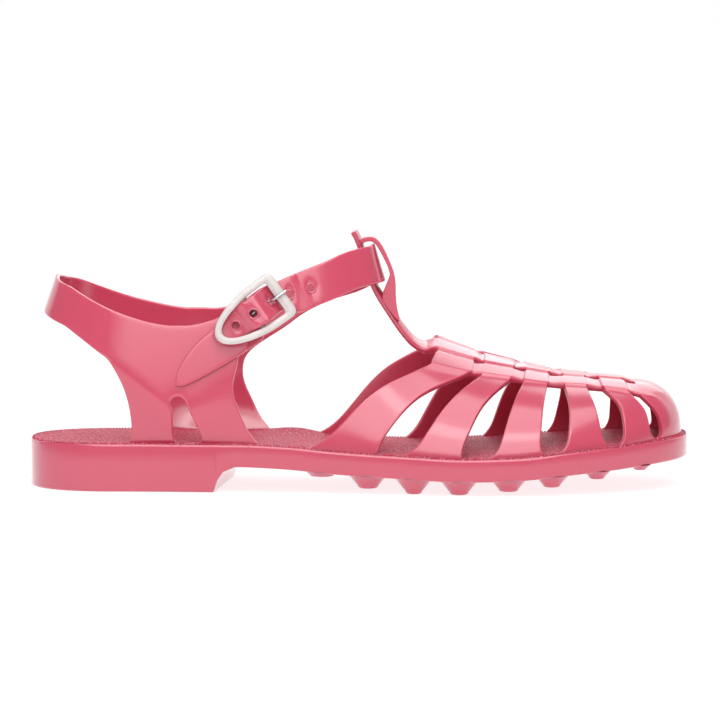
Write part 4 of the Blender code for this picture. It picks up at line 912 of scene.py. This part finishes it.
def side_columns(inner, edge, wall):
    """Quarter on one side, front to back: rows of the band, then rows of the legs down into the sole."""
    share = leg_shares(edge)
    count = len(share)
    keys = np.array(BAND["along"])
    front_leg = keys[0] + (keys[2] - keys[0]) * share
    rear_leg = keys[3] + (keys[5] - keys[3]) * share
    place = np.concatenate((front_leg, [(keys[2] + keys[3]) / 2], rear_leg, BACK_PLACES))
    band, forward = side_band(place, inner, edge)
    legs = with_leg_rows(band)
    heights = LEGS["height"][::-1]
    for start, foot, leg in ((0, INNER_FEET[0], "front_leg_"), (count + 1, INNER_FEET[1], "rear_leg_")):
        columns = slice(start, start + count)
        legs[columns, BAND_ROWS - 2] = (band[columns, -1] + band[columns, -3] * 2) / 3
        first, last = (smooth(LEG_ROWS, heights, LEGS[leg + end][::-1])[None] for end in ("front", "rear"))
        advance = forward[columns, None] * LEG_ROWS + foot / LENGTH * (1 - LEG_ROWS) * inner
        along = first + (last - first) * share[:, None] + advance
        points = leg_points(along, LEG_ROWS, band[columns, -1], 1 if inner else -1, wall)
        legs[columns, BAND_ROWS:-1] = points
        legs[columns, -1] = points[:, -1] - (0, 0, FOOT_DEPTH)
    return legs


def with_leg_rows(band):
    """Rows of a band, with its last one repeated where other columns have their legs."""
    return np.concatenate((band, np.repeat(band[:, -1:], len(LEG_ROWS) + 1, axis=1)), axis=1)


def band_heights(top, bottom, edge):
    """Heights of the band's rows from top to bottom, with one close to each edge."""
    span = top - bottom
    rows = [top, top - edge, top - span / 3, top - span / 2, top - span * 2 / 3, bottom + edge, bottom]
    return np.stack(rows, axis=1)


def leg_points(along, height, hip, side, wall):
    """Points on a leg: from the band at height 1 down to the sole at height 0, bulging as a parabola
    that leaves the band along its lean."""
    foot_y = sole_edge(along, side) - side * (EDGE_INSET + wall / 2)
    foot_z = sole_top(along)
    drop = hip[:, None, 2] - foot_z
    bulge = side * SIDE_LEAN * drop + hip[:, None, 1] - foot_y
    y = foot_y + (hip[:, None, 1] - foot_y) * height + bulge * height * (1 - height)
    return np.stack((to_x(along), y, foot_z + (hip[:, None, 2] - foot_z) * height), axis=-1)


def back_columns(edge):
    """Heel band round the back, from the outer side to the inner side."""
    last_top, last_bottom = BAND["top"][-1], BAND["bottom"][-1]
    start = run_at(BAND["along"][-1])
    turn = np.linspace(0, 2, COUNT["back"])[1:-1]
    run = start + (GIRTH / 2 - start) * turn
    share = 1 - np.abs(1 - turn)
    share = share + BACK_SWELL * share * (1 - share)
    rise = INNER_RISE * BACK_RISE * np.maximum(0.0, turn - 1)
    top = BACK_HEIGHT * (last_top + (1 - last_top) * share) + rise
    bottom = BACK_HEIGHT * (last_bottom + (BACK_BOTTOM - last_bottom) * share)
    return with_leg_rows(wrap(run[:, None], band_heights(top, bottom, edge)))


def strap_levels(wall):
    """Heights over the quarter's middle surface where strap, tab, bar and frame pass each other."""
    loop = BAR_RADIUS + FIT + TAB_WALL / 2
    tab_end = wall / 2 + FIT + TAB_WALL / 2
    strap_end = tab_end + TAB_WALL / 2 + FIT + wall / 2
    return {
        "bar": BAR_LEVEL,
        "loop": loop,
        "tab_end": tab_end,
        "hump": BAR_LEVEL + loop + TAB_WALL / 2 + FIT + wall / 2,
        "strap_front": STRAP_LIFT,
        "strap_end": strap_end,
        "frame_front": STRAP_LIFT + wall / 2 + FIT + FRAME_THICK / 2,
        "frame_end": strap_end + wall / 2 + 2 * FIT + FRAME_THICK / 2,
    }


def strap_side(table, run):
    """Middle line of the ankle strap on one side of the foot, at the given runs, flat on its surface."""
    return np.column_stack((run, np.array(table["middle"]) * BACK_HEIGHT, 0 * run,
                            np.array(table["width"]) * STRAP_WIDTH))


def strap_path(wall):
    """Middle line of the ankle strap: run, height, offset and width, from the inner side to the tip."""
    level = strap_levels(wall)
    front = np.array([(GIRTH, STRAP_FRONT * BACK_HEIGHT, 0, STRAP_WIDTH)])
    place, shift, share, width = (np.array(STRAP_STACK[key]) for key in ("place", "shift", "share", "width"))
    s = place * np.where(place > 0, FRAME_LENGTH - BAR_TO_FRONT, BAR_TO_FRONT)
    w = shift * STRAP_WIDTH
    off = share * np.array([level[name] for name in STRAP_STACK["level"]])
    cosine, sine = math.cos(BUCKLE_TILT), math.sin(BUCKLE_TILT)
    run = GIRTH + run_at(to_along(BUCKLE_X)) + s * cosine + w * sine
    buckle = np.column_stack((run, BUCKLE_Z - s * sine + w * cosine, off, width * STRAP_TIP_WIDTH))
    return np.concatenate((strap_side(STRAP_INNER, GIRTH - run_at(STRAP_INNER["along"])), front,
                           strap_side(STRAP_OUTER, GIRTH + run_at(STRAP_OUTER["along"])), buckle))


def strap_measure(wall):
    """The strap's path, its length up to each of its points, and the place of each hole by length.

    The middle hole sits on the prong.
    """
    path = strap_path(wall)
    length = run_along(path[:, :3])
    prong_run = GIRTH + run_at(to_along(BUCKLE_X)) - BAR_TO_FRONT * PRONG_HOLE * math.cos(BUCKLE_TILT)
    middle = np.interp(prong_run, path[:, 0], length)
    return path, length, middle + HOLE_PITCH * np.array(HOLE_NUMBERS)


def strap_points(place, across, wall, lift=0.0):
    """Points on the strap: at a length along its path, across it, and lifted off its middle surface."""
    path, length, _ = strap_measure(wall)
    run, z, off = (smooth(place, length, path[:, k]) for k in range(3))
    ahead = [smooth(place + PATH_STEP, length, path[:, k]) - smooth(place - PATH_STEP, length, path[:, k])
             for k in (0, 1)]
    size = np.hypot(*ahead)
    return wrap(run - ahead[1] / size * across, z + ahead[0] / size * across, off + lift)


def strap_grid(edge, wall, hole):
    """Ankle strap's columns and the cells that its round holes leave out."""
    path, length, holes = strap_measure(wall)
    cut = hole * HOLE_CUT
    buckle = length[len(path) - len(STRAP_STACK["place"]) - 1]
    base = np.concatenate((np.linspace(0, buckle, COUNT["strap"]),
                           np.linspace(buckle, length[-1], COUNT["strap_end"])[1:]))
    base = base[np.abs(base[:, None] - holes[None]).min(axis=1) > hole * HOLE_CLEAR]
    place = np.sort(np.concatenate((base, holes, holes - cut, holes + cut)))
    width = smooth(place, length, path[:, 3])
    across = np.stack((width / 2, width / 2 - edge, width * 0 + cut, width * 0, width * 0 - cut,
                       edge - width / 2, -width / 2), axis=1)
    place = np.repeat(place[:, None], BAND_ROWS, axis=1)
    cells = np.ones((len(place) - 1, BAND_ROWS - 1), bool)
    corner = hole / math.sqrt(2)
    forward = np.array(((-corner, -hole, -corner), (0, 0, 0), (corner, hole, corner)))
    sideways = np.array(((corner, 0, -corner), (hole, 0, -hole), (corner, 0, -corner)))
    for centre in holes:
        c = int(np.argmin(np.abs(place[:, 0] - centre)))
        cells[c - 1:c + 1, 2:4] = False
        place[c - 1:c + 2, 2:5] = centre + forward
        across[c - 1:c + 2, 2:5] = sideways
    return strap_points(place, across, wall), cells


def quarter_grid(edge, wall, hole):
    """Points and cells of the quarter: outer side, round the back, inner side, then the ankle strap."""
    outer = side_columns(False, edge, wall)
    back = back_columns(edge)
    inner = side_columns(True, edge, wall)[::-1]
    strap, strap_cells = strap_grid(edge, wall, hole)
    points = np.concatenate((outer, back, inner, with_leg_rows(strap)))
    cells = np.zeros((len(points) - 1, points.shape[1] - 1), bool)
    cells[:, :BAND_ROWS - 1] = True
    cells[-len(strap_cells):, :BAND_ROWS - 1] = strap_cells
    leg = len(leg_shares(edge))
    first_inner = len(outer) + len(back) + len(BACK_PLACES)
    for start in (0, leg + 1, first_inner, first_inner + leg + 1):
        cells[start:start + leg - 1, BAND_ROWS - 1:] = True
    return points[:, ::-1], cells[:, ::-1]


def tab_grid(edge, wall):
    """The quarter's strip: forward to the bar, round it with a slot for the prong, and back to its end."""
    level = strap_levels(wall)
    turn = np.linspace(math.radians(-90), math.radians(-270), COUNT["tab_loop"])
    units = {"place": FRAME_LENGTH, "share": level["tab_end"], "low": STRAP_WIDTH, "high": STRAP_WIDTH}
    root, tongue = (np.column_stack([np.array(table[key]) * size for key, size in units.items()])
                    for table in (TAB_ROOT, TAB_TONGUE))
    narrow = np.full(len(turn), STRAP_TIP_WIDTH / 2)
    loop = np.column_stack((level["loop"] * np.cos(turn), level["bar"] + level["loop"] * np.sin(turn),
                            -narrow, narrow))
    path = np.concatenate((root, loop, tongue, [tongue[-1] + (TIP_STEP, 0, TIP_STEP, -TIP_STEP)]))
    s, off, low, high = path.T
    middle, slot = (low + high) / 2, np.minimum(SLOT_WIDTH / 2, (high - low) / 6)
    middle[3:len(root) + len(loop) + 1] = 0
    across = np.stack((low, low + edge, middle - slot, middle + slot, high - edge, high), axis=1)
    cells = np.ones((len(s) - 1, 5), bool)
    cells[3:len(root) + len(loop), 2] = False
    return lay(s[:, None], across, off[:, None]), cells


def ring_shells(hole, wall):
    """Raised rings round the holes: tori that lie on the strap's outer face."""
    _, _, holes = strap_measure(wall)
    turn, bend = circle(COUNT["ring_turn"])[:, None], circle(COUNT["ring_bend"])[None, :]
    reach = hole + RING_GAP + RING_RADIUS * np.cos(bend)
    lift = wall / 2 - RING_SINK + RING_RADIUS * RING_FLAT * np.sin(bend)
    return [closed_shell(strap_points(centre + reach * np.cos(turn), reach * np.sin(turn), wall, lift), True)
            for centre in holes]


# The buckle

def d_outline(half, front, reach, corner, end):
    """D outline: straight front with round corners, straight sides and half an ellipse at the far end."""
    across = np.linspace(front + corner, reach - end, COUNT["frame_side"] + 2)[1:-1]
    arc = np.linspace(math.pi, math.pi / 2, COUNT["frame_corner"])
    upper = np.column_stack((front + corner + corner * np.cos(arc), half - corner + corner * np.sin(arc)))
    side = np.column_stack((across, np.full(len(across), half)))
    turn = np.linspace(math.pi / 2, -math.pi / 2, COUNT["frame_end"])
    tail = np.column_stack((reach - end + end * np.cos(turn), half * np.sin(turn)))
    flip = np.array((1, -1))
    up = np.linspace(-half + corner, half - corner, COUNT["frame_bar"] + 2)[1:-1]
    bar = np.column_stack((np.full(len(up), front), up))
    return np.concatenate((upper, side, tail, side[::-1] * flip, upper[::-1] * flip, bar))


def frame_offset(s, level):
    """Height of the frame's middle: level at the front bar, then up a ramp to its far end."""
    start = FRONT_BAR - BAR_TO_FRONT
    stop = (FRAME_LENGTH - BAR_TO_FRONT) * FRAME_RAMP
    t = np.clip((s - start) / (stop - start), 0, 1)
    return level["frame_front"] + (level["frame_end"] - level["frame_front"]) * t


def frame_shell(wall):
    """Buckle frame: a rounded-square section carried round the band between two D outlines."""
    level = strap_levels(wall)
    reach = FRAME_LENGTH - BAR_TO_FRONT
    half = FRAME_WIDTH / 2
    outer = d_outline(half, -BAR_TO_FRONT, reach, FRAME_CORNER, FRAME_ROUND)
    inner = d_outline(half - RAIL, FRONT_BAR - BAR_TO_FRONT, reach - RAIL, FRAME_INNER_CORNER,
                      FRAME_ROUND - RAIL)
    middle, arm = (outer + inner) / 2, (outer - inner) / 2
    turn = circle(COUNT["frame_turn"])
    out, up = (np.sign(wave) * np.abs(wave) ** (2 / FRAME_POWER) for wave in (np.cos(turn), np.sin(turn)))
    plan = middle[:, None] + arm[:, None] * out[None, :, None]
    off = frame_offset(plan[..., 0], level) + up[None] * FRAME_THICK / 2
    return closed_shell(lay(plan[..., 0], plan[..., 1], off), True)


def tube_shell(line, side, radius):
    """Round bar: circles of a radius round a line, in the plane of side and side x tangent, capped."""
    tangent = unit(np.gradient(line, axis=0))
    side = unit(side - tangent * (side * tangent).sum(axis=1)[:, None])
    up = np.cross(tangent, side)
    turn = circle(COUNT["tube_turn"])[None, :, None]
    step, push = (radius * np.array(TUBE_END[key]) for key in ("radius", "along"))
    first = line[0] - tangent[0] * (radius - push)[:, None]
    last = (line[-1] + tangent[-1] * (radius - push)[:, None])[::-1]
    centres = np.concatenate((first, line[1:-1], last))
    radii = np.concatenate((step, np.full(len(line) - 2, radius), step[::-1]))[:, None, None]
    index = np.concatenate((np.zeros(len(step), int), np.arange(1, len(line) - 1),
                            np.full(len(step), len(line) - 1)))
    out = side[index][:, None] * np.cos(turn) + up[index][:, None] * np.sin(turn)
    return closed_shell(centres[:, None] + radii * out)


def rod_shell(w, off, radius):
    """Straight round bar between two places on the buckle's bar line, each given by w and off."""
    ends = lay(np.zeros(2), np.array(w), np.array(off))
    line = ends[0] + (ends[1] - ends[0]) * np.linspace(0, 1, COUNT["rod"])[:, None]
    side = np.array(Vector(ends[1] - ends[0]).orthogonal().normalized())[None]
    return tube_shell(line, side, radius)


def bar_shells(wall):
    """The frame's centre bar and the two posts that carry it under the rails."""
    level = strap_levels(wall)
    start = FRAME_LENGTH - BAR_TO_FRONT - FRAME_ROUND
    reach = (FRAME_WIDTH / 2 * math.sqrt(1 - (start / FRAME_ROUND) ** 2)
             + (FRAME_WIDTH / 2 - RAIL) * math.sqrt(1 - (start / (FRAME_ROUND - RAIL)) ** 2)) / 2
    rail = float(frame_offset(0.0, level))
    post = (level["bar"] - BAR_RADIUS / 2, rail - FRAME_THICK / 4)
    return [rod_shell((-reach, reach), (level["bar"],) * 2, BAR_RADIUS)] + [
        rod_shell((w, w), post, RAIL * POST_SHARE) for w in (-reach, reach)]


def prong_shell(wall, radius):
    """Steel wire: an eye round the bar, up through the strap's hole and on to the front bar."""
    level = strap_levels(wall)
    eye = BAR_RADIUS + PRONG_FIT + radius
    turn = np.radians(PRONG_EYE)
    rest = level["frame_front"] + FRAME_THICK / 2 + radius + PRONG_LIFT
    path = np.concatenate((
        np.column_stack((eye * np.cos(turn), level["bar"] + eye * np.sin(turn))),
        np.column_stack((PRONG_RISE["place"], PRONG_RISE["share"])) * (BAR_TO_FRONT, level["hump"]),
        np.column_stack((PRONG_REST["place"], PRONG_REST["lift"])) * (BAR_TO_FRONT, 1) + (0, rest)))
    length = run_along(path)
    fine = np.linspace(0, length[-1], COUNT["prong"])
    s, off = (smooth(fine, length, path[:, k]) for k in (0, 1))
    line = lay(s, 0 * s, off)
    return tube_shell(line, lay(s, 0 * s + PROBE, off) - line, radius)


# Materials

def add_node(tree, kind, settings=None, links=None):
    """Add a node, set its properties and its inputs' values, and link its inputs to other outputs."""
    node = tree.nodes.new(kind)
    for key, value in (settings or {}).items():
        if isinstance(key, int) or key in node.inputs:
            node.inputs[key].default_value = value
        else:
            setattr(node, key, value)
    for key, source in (links or {}).items():
        tree.links.new(source, node.inputs[key])
    return node


def new_material(name):
    """New material, its node tree, and the object's own coordinates."""
    material = bpy.data.materials.new(name)
    material.use_nodes = True
    material.node_tree.nodes.clear()
    return material, material.node_tree, add_node(material.node_tree, "ShaderNodeTexCoord").outputs["Object"]


def noise(tree, place, scale, detail=2.0):
    """Fractal noise, its scale in waves a metre."""
    node = add_node(tree, "ShaderNodeTexNoise", {"Scale": scale, "Detail": detail}, {"Vector": place})
    return node.outputs["Fac"]


def spread(tree, value, low, high, start=0.0, stop=1.0):
    """Map a value that runs from start to stop onto low to high."""
    ends = {"From Min": start, "From Max": stop, "To Min": low, "To Max": high}
    return add_node(tree, "ShaderNodeMapRange", ends, {"Value": value}).outputs["Result"]


def weighted(tree, value, weight, rest):
    """The value times its weight, plus a rest that is a number or another output."""
    settings, links = {"operation": "MULTIPLY_ADD", 1: weight}, {0: value}
    (settings if isinstance(rest, float) else links)[2] = rest
    return add_node(tree, "ShaderNodeMath", settings, links).outputs["Value"]


def toned(tree, colour, value):
    """A colour with its brightness times a value."""
    settings = {"Color": (*colour, 1.0)}
    return add_node(tree, "ShaderNodeHueSaturation", settings, {"Value": value}).outputs["Color"]


def relief(tree, height, strength, distance):
    """Normal of a bump, from its height."""
    settings = {"Strength": strength, "Distance": distance}
    return add_node(tree, "ShaderNodeBump", settings, {"Height": height}).outputs["Normal"]


def finish_material(tree, settings, links):
    """Principled surface, wired to the material's output."""
    shader = add_node(tree, "ShaderNodeBsdfPrincipled", settings, links)
    add_node(tree, "ShaderNodeOutputMaterial", links={"Surface": shader.outputs["BSDF"]})


def moulded_pvc(colours):
    """Injection-moulded soft PVC: glossy from a polished mould, slightly cloudy, and light passes in a
    few millimetres, so thin straps glow and hollows go a deep red. Faint flow marks ripple the gloss.
    """
    material, tree, place = new_material("injection_moulded_pvc")
    tone = spread(tree, noise(tree, place, 60.0), 0.99, 1.01, 0.3, 0.7)
    flow = noise(tree, place, 220.0)
    ripple = weighted(tree, noise(tree, place, 1400.0, 1.0), 0.25, flow)
    finish_material(tree, {"IOR": PVC_IOR, "Subsurface Weight": 0.45, "Subsurface Radius": PVC_GLOW,
                           "Subsurface Scale": 0.0025, "Coat Weight": 1.0, "Coat Roughness": 0.15},
                    {"Base Color": toned(tree, colours.pvc, tone),
                     "Roughness": spread(tree, flow, 0.20, 0.25),
                     "Normal": relief(tree, ripple, 0.03, 0.0003)})
    return material


def grained_pvc(colours, grain):
    """The same PVC from an etched mould: pebbles about a millimetre wide, coloured lighter on their tops as
    a painted highlight and darker in the valleys as painted shade.
    """
    material, tree, place = new_material("pebble_grained_pvc")
    pebbles = add_node(tree, "ShaderNodeTexVoronoi",
                       {"feature": "SMOOTH_F1", "Scale": 1 / grain, "Smoothness": 0.35, "Randomness": 0.85},
                       {"Vector": place})
    height = spread(tree, pebbles.outputs["Distance"], 1.0, 0.0, 0.15, 0.62)
    shade = weighted(tree, noise(tree, place, 90.0), 0.35, -0.17)
    mixed = add_node(tree, "ShaderNodeMath", {"operation": "ADD", "use_clamp": True}, {0: height, 1: shade})
    # Colour by pebble height, with random tone: painted highlight on the tops, painted shade in the valleys
    colour = add_node(tree, "ShaderNodeMixRGB",
                      {"Color1": (*colours.valley_painted_shade, 1.0), "Color2": (*colours.pebble_top_painted_highlight, 1.0)},
                      {"Fac": mixed.outputs["Value"]})
    finish_material(tree, {"IOR": PVC_IOR, "Roughness": 0.5, "Specular IOR Level": 0.15,
                           "Subsurface Weight": 0.4, "Subsurface Radius": PVC_GLOW,
                           "Subsurface Scale": 0.003},
                    {"Base Color": colour.outputs["Color"],
                     "Normal": relief(tree, height, 1.0, grain * 0.8)})
    return material


def milky_plastic(colours):
    """Translucent nylon buckle, moulded in one: milky, shiny, with soft cloudiness inside."""
    material, tree, place = new_material("milky_nylon")
    cloud = noise(tree, place, 180.0)
    colour = toned(tree, colours.milky, spread(tree, cloud, 0.90, 1.04))
    finish_material(tree, {"IOR": 1.5, "Roughness": 0.16, "Coat Weight": 0.3, "Subsurface Weight": 0.6,
                           "Subsurface Radius": (1.0, 0.95, 0.9), "Subsurface Scale": 0.002},
                    {"Base Color": colour, "Normal": relief(tree, cloud, 0.08, 0.0002)})
    return material


def drawn_steel(colours):
    """Drawn steel wire, nickel-bright, with fine draw lines."""
    material, tree, place = new_material("drawn_steel_wire")
    lines = noise(tree, place, 900.0)
    finish_material(tree, {"Metallic": 1.0, "Base Color": (*colours.steel, 1.0)},
                    {"Roughness": spread(tree, lines, 0.18, 0.34),
                     "Normal": relief(tree, lines, 0.1, 0.0001)})
    return material


def studio_paper(colours):
    """Seamless studio paper: matt and nearly white."""
    material, tree, place = new_material("studio_paper")
    finish_material(tree, {"Base Color": (*colours.floor, 1.0), "Roughness": 0.9,
                           "Emission Color": (1.0, 1.0, 1.0, 1.0), "Emission Strength": 0.80},
                    {"Normal": relief(tree, noise(tree, place, 400.0), 0.02, 0.0002)})
    return material


def material_for(name, make, *values):
    """The material of a finish, made on its first use."""
    return bpy.data.materials.get(name) or make(*values)


# The stage

def lay_paper(scene):
    """Paper floor that rises at the back."""
    points = np.array([[(side * PAPER_HALF, back, up) for side in (-1, 1)]
                       for back, up in zip(PAPER["back"], PAPER["up"])])
    faces = grid_faces(*points.shape[:2]).tolist()
    floor = new_piece("studio_floor", points.reshape(-1, 3), faces, studio_paper(scene.sandal_colours))


def hang_lights(scene):
    """Soft square lights that face the shoe, and a white world."""
    for row in LIGHTS:
        light = bpy.data.lights.new(row["name"], "AREA")
        light.shape = "SQUARE"
        light.size = row["size"]
        light.energy = row["power"]
        lamp = bpy.data.objects.new(row["name"], light)
        lamp.location = row["place"]
        lamp.rotation_euler = (Vector(LIT_POINT) - Vector(row["place"])).to_track_quat("-Z", "Y").to_euler()
        scene.collection.objects.link(lamp)
    world = bpy.data.worlds.new("studio")
    world.use_nodes = True
    sky = world.node_tree.nodes["Background"]
    sky.inputs["Color"].default_value = (1.0, 1.0, 1.0, 1.0)
    sky.inputs["Strength"].default_value = WORLD_STRENGTH
    scene.world = world
    scene.view_settings.view_transform = "Standard"


def place_camera(scene):
    """Camera at the photograph's angle, with the shoe as wide in it as there."""
    camera = bpy.data.objects.new("camera", bpy.data.cameras.new("camera"))
    level = math.cos(CAMERA_UP)
    back = Vector((math.sin(CAMERA_ROUND) * level, -math.cos(CAMERA_ROUND) * level, math.sin(CAMERA_UP)))
    camera.location = Vector(CAMERA_AIM) + back * CAMERA_DISTANCE
    camera.rotation_euler = (-back).to_track_quat("-Z", "Y").to_euler()
    camera.data.lens = SENSOR * CAMERA_DISTANCE / VIEW_WIDTH
    camera.data.sensor_width = SENSOR
    camera.data.clip_end = CAMERA_END
    scene.collection.objects.link(camera)
    scene.camera = camera


# Operators

class SANDAL_OT_sole(bpy.types.Operator):
    """Build the moulded sole with its lugs, and the grained footbed"""

    bl_idname = "sandal.sole"
    bl_label = "Sole and footbed"

    def execute(self, context):
        sizes, colours = context.scene.sandal_sizes, context.scene.sandal_colours
        pvc = material_for("injection_moulded_pvc", moulded_pvc, colours)
        sole = mesh_piece("moulded_sole", [sole_shell(sizes.sole_edge)] + lug_shells(), pvc, sharp=32)
        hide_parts("sole")
        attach(sole, "root")
        footbed = mesh_piece("grained_footbed", [footbed_shell()] + bead_shells(sizes.grain),
                             material_for("pebble_grained_pvc", grained_pvc, colours, sizes.grain))
        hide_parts("insole")
        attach(footbed, "root")
        return {"FINISHED"}


class SANDAL_OT_vamp(bpy.types.Operator):
    """Build the woven vamp with its toe cap, T-bar and keeper"""

    bl_idname = "sandal.vamp"
    bl_label = "Woven vamp"

    def execute(self, context):
        sizes, colours = context.scene.sandal_sizes, context.scene.sandal_colours
        pvc = material_for("injection_moulded_pvc", moulded_pvc, colours)
        points, cells, raised = vamp_grid(sizes.wall, sizes.soft_edge)
        full = sizes.wall + sizes.weave
        vamp = sheet_piece("woven_vamp", points, cells, (raised, sizes.wall / full), full, 1.0, pvc,
                           sizes.smoothing)
        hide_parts("vamp")
        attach(vamp, "root")
        keeper = mesh_piece("strap_keeper", [keeper_shell()], pvc)
        edge = keeper.modifiers.new("Soft edges", "BEVEL")
        edge.width = sizes.soft_edge
        edge.segments = 3
        edge.limit_method = "ANGLE"
        edge.harden_normals = True
        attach(keeper, "root")
        return {"FINISHED"}


class SANDAL_OT_quarter(bpy.types.Operator):
    """Build the heel band with its legs, the ankle strap with its holes, and the buckle's tab"""

    bl_idname = "sandal.quarter"
    bl_label = "Quarter and ankle strap"

    def execute(self, context):
        sizes, colours = context.scene.sandal_sizes, context.scene.sandal_colours
        pvc = material_for("injection_moulded_pvc", moulded_pvc, colours)
        points, cells = quarter_grid(sizes.soft_edge, sizes.quarter_wall, sizes.hole_radius)
        quarter = sheet_piece("moulded_quarter", points, cells, None, sizes.quarter_wall, 0.0, pvc,
                              sizes.smoothing)
        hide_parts("quarter")
        points, cells = tab_grid(sizes.soft_edge, sizes.quarter_wall)
        tab = sheet_piece("buckle_tab", points, cells, None, TAB_WALL, 0.0, pvc, sizes.smoothing)
        rings = mesh_piece("hole_rings", ring_shells(sizes.hole_radius, sizes.quarter_wall), pvc)
        for piece in (quarter, tab, rings):
            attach(piece, "root")
        return {"FINISHED"}


class SANDAL_OT_buckle(bpy.types.Operator):
    """Build the milky buckle frame and its steel prong"""

    bl_idname = "sandal.buckle"
    bl_label = "Buckle"

    def execute(self, context):
        sizes, colours = context.scene.sandal_sizes, context.scene.sandal_colours
        milky = material_for("milky_nylon", milky_plastic, colours)
        wall = sizes.quarter_wall
        buckle = mesh_piece("milky_frame", [frame_shell(wall)] + bar_shells(wall), milky)
        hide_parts("buckle_frame")
        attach(buckle, "root")
        prong = mesh_piece("steel_prong", [prong_shell(wall, sizes.prong_radius)],
                           material_for("drawn_steel_wire", drawn_steel, colours))
        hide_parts("buckle_prong")
        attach(prong, "root")
        return {"FINISHED"}


class SANDAL_OT_stage(bpy.types.Operator):
    """Set the studio: paper floor with a raised back, soft lights and the camera"""

    bl_idname = "sandal.stage"
    bl_label = "Stage"

    def execute(self, context):
        lay_paper(context.scene)
        hang_lights(context.scene)
        place_camera(context.scene)
        return {"FINISHED"}


class SANDAL_PT_panel(bpy.types.Panel):
    """Lists the sandal's pieces, sizes and colours"""

    bl_idname = "SANDAL_PT_panel"
    bl_label = "Jelly sandal"
    bl_space_type = "VIEW_3D"
    bl_region_type = "UI"
    bl_category = "Sandal"

    def draw(self, context):
        for operator in OPERATORS:
            self.layout.operator(operator.bl_idname)
        for group in (context.scene.sandal_sizes, context.scene.sandal_colours):
            for key in group.__annotations__:
                self.layout.prop(group, key)


OPERATORS = (SANDAL_OT_sole, SANDAL_OT_vamp, SANDAL_OT_quarter, SANDAL_OT_buckle, SANDAL_OT_stage)
CLASSES = (SandalSizes, SandalColours) + OPERATORS + (SANDAL_PT_panel,)


def register():
    for item in CLASSES:
        bpy.utils.register_class(item)
    bpy.types.Scene.sandal_sizes = bpy.props.PointerProperty(type=SandalSizes)
    bpy.types.Scene.sandal_colours = bpy.props.PointerProperty(type=SandalColours)


def unregister():
    del bpy.types.Scene.sandal_sizes
    del bpy.types.Scene.sandal_colours
    for item in reversed(CLASSES):
        bpy.utils.unregister_class(item)


def main():
    """Build the sandal and its stage."""
    register()
    bpy.ops.sandal.sole()
    bpy.ops.sandal.vamp()
    bpy.ops.sandal.quarter()
    bpy.ops.sandal.buckle()
    bpy.ops.sandal.stage()


if __name__ == "__main__":
    main()
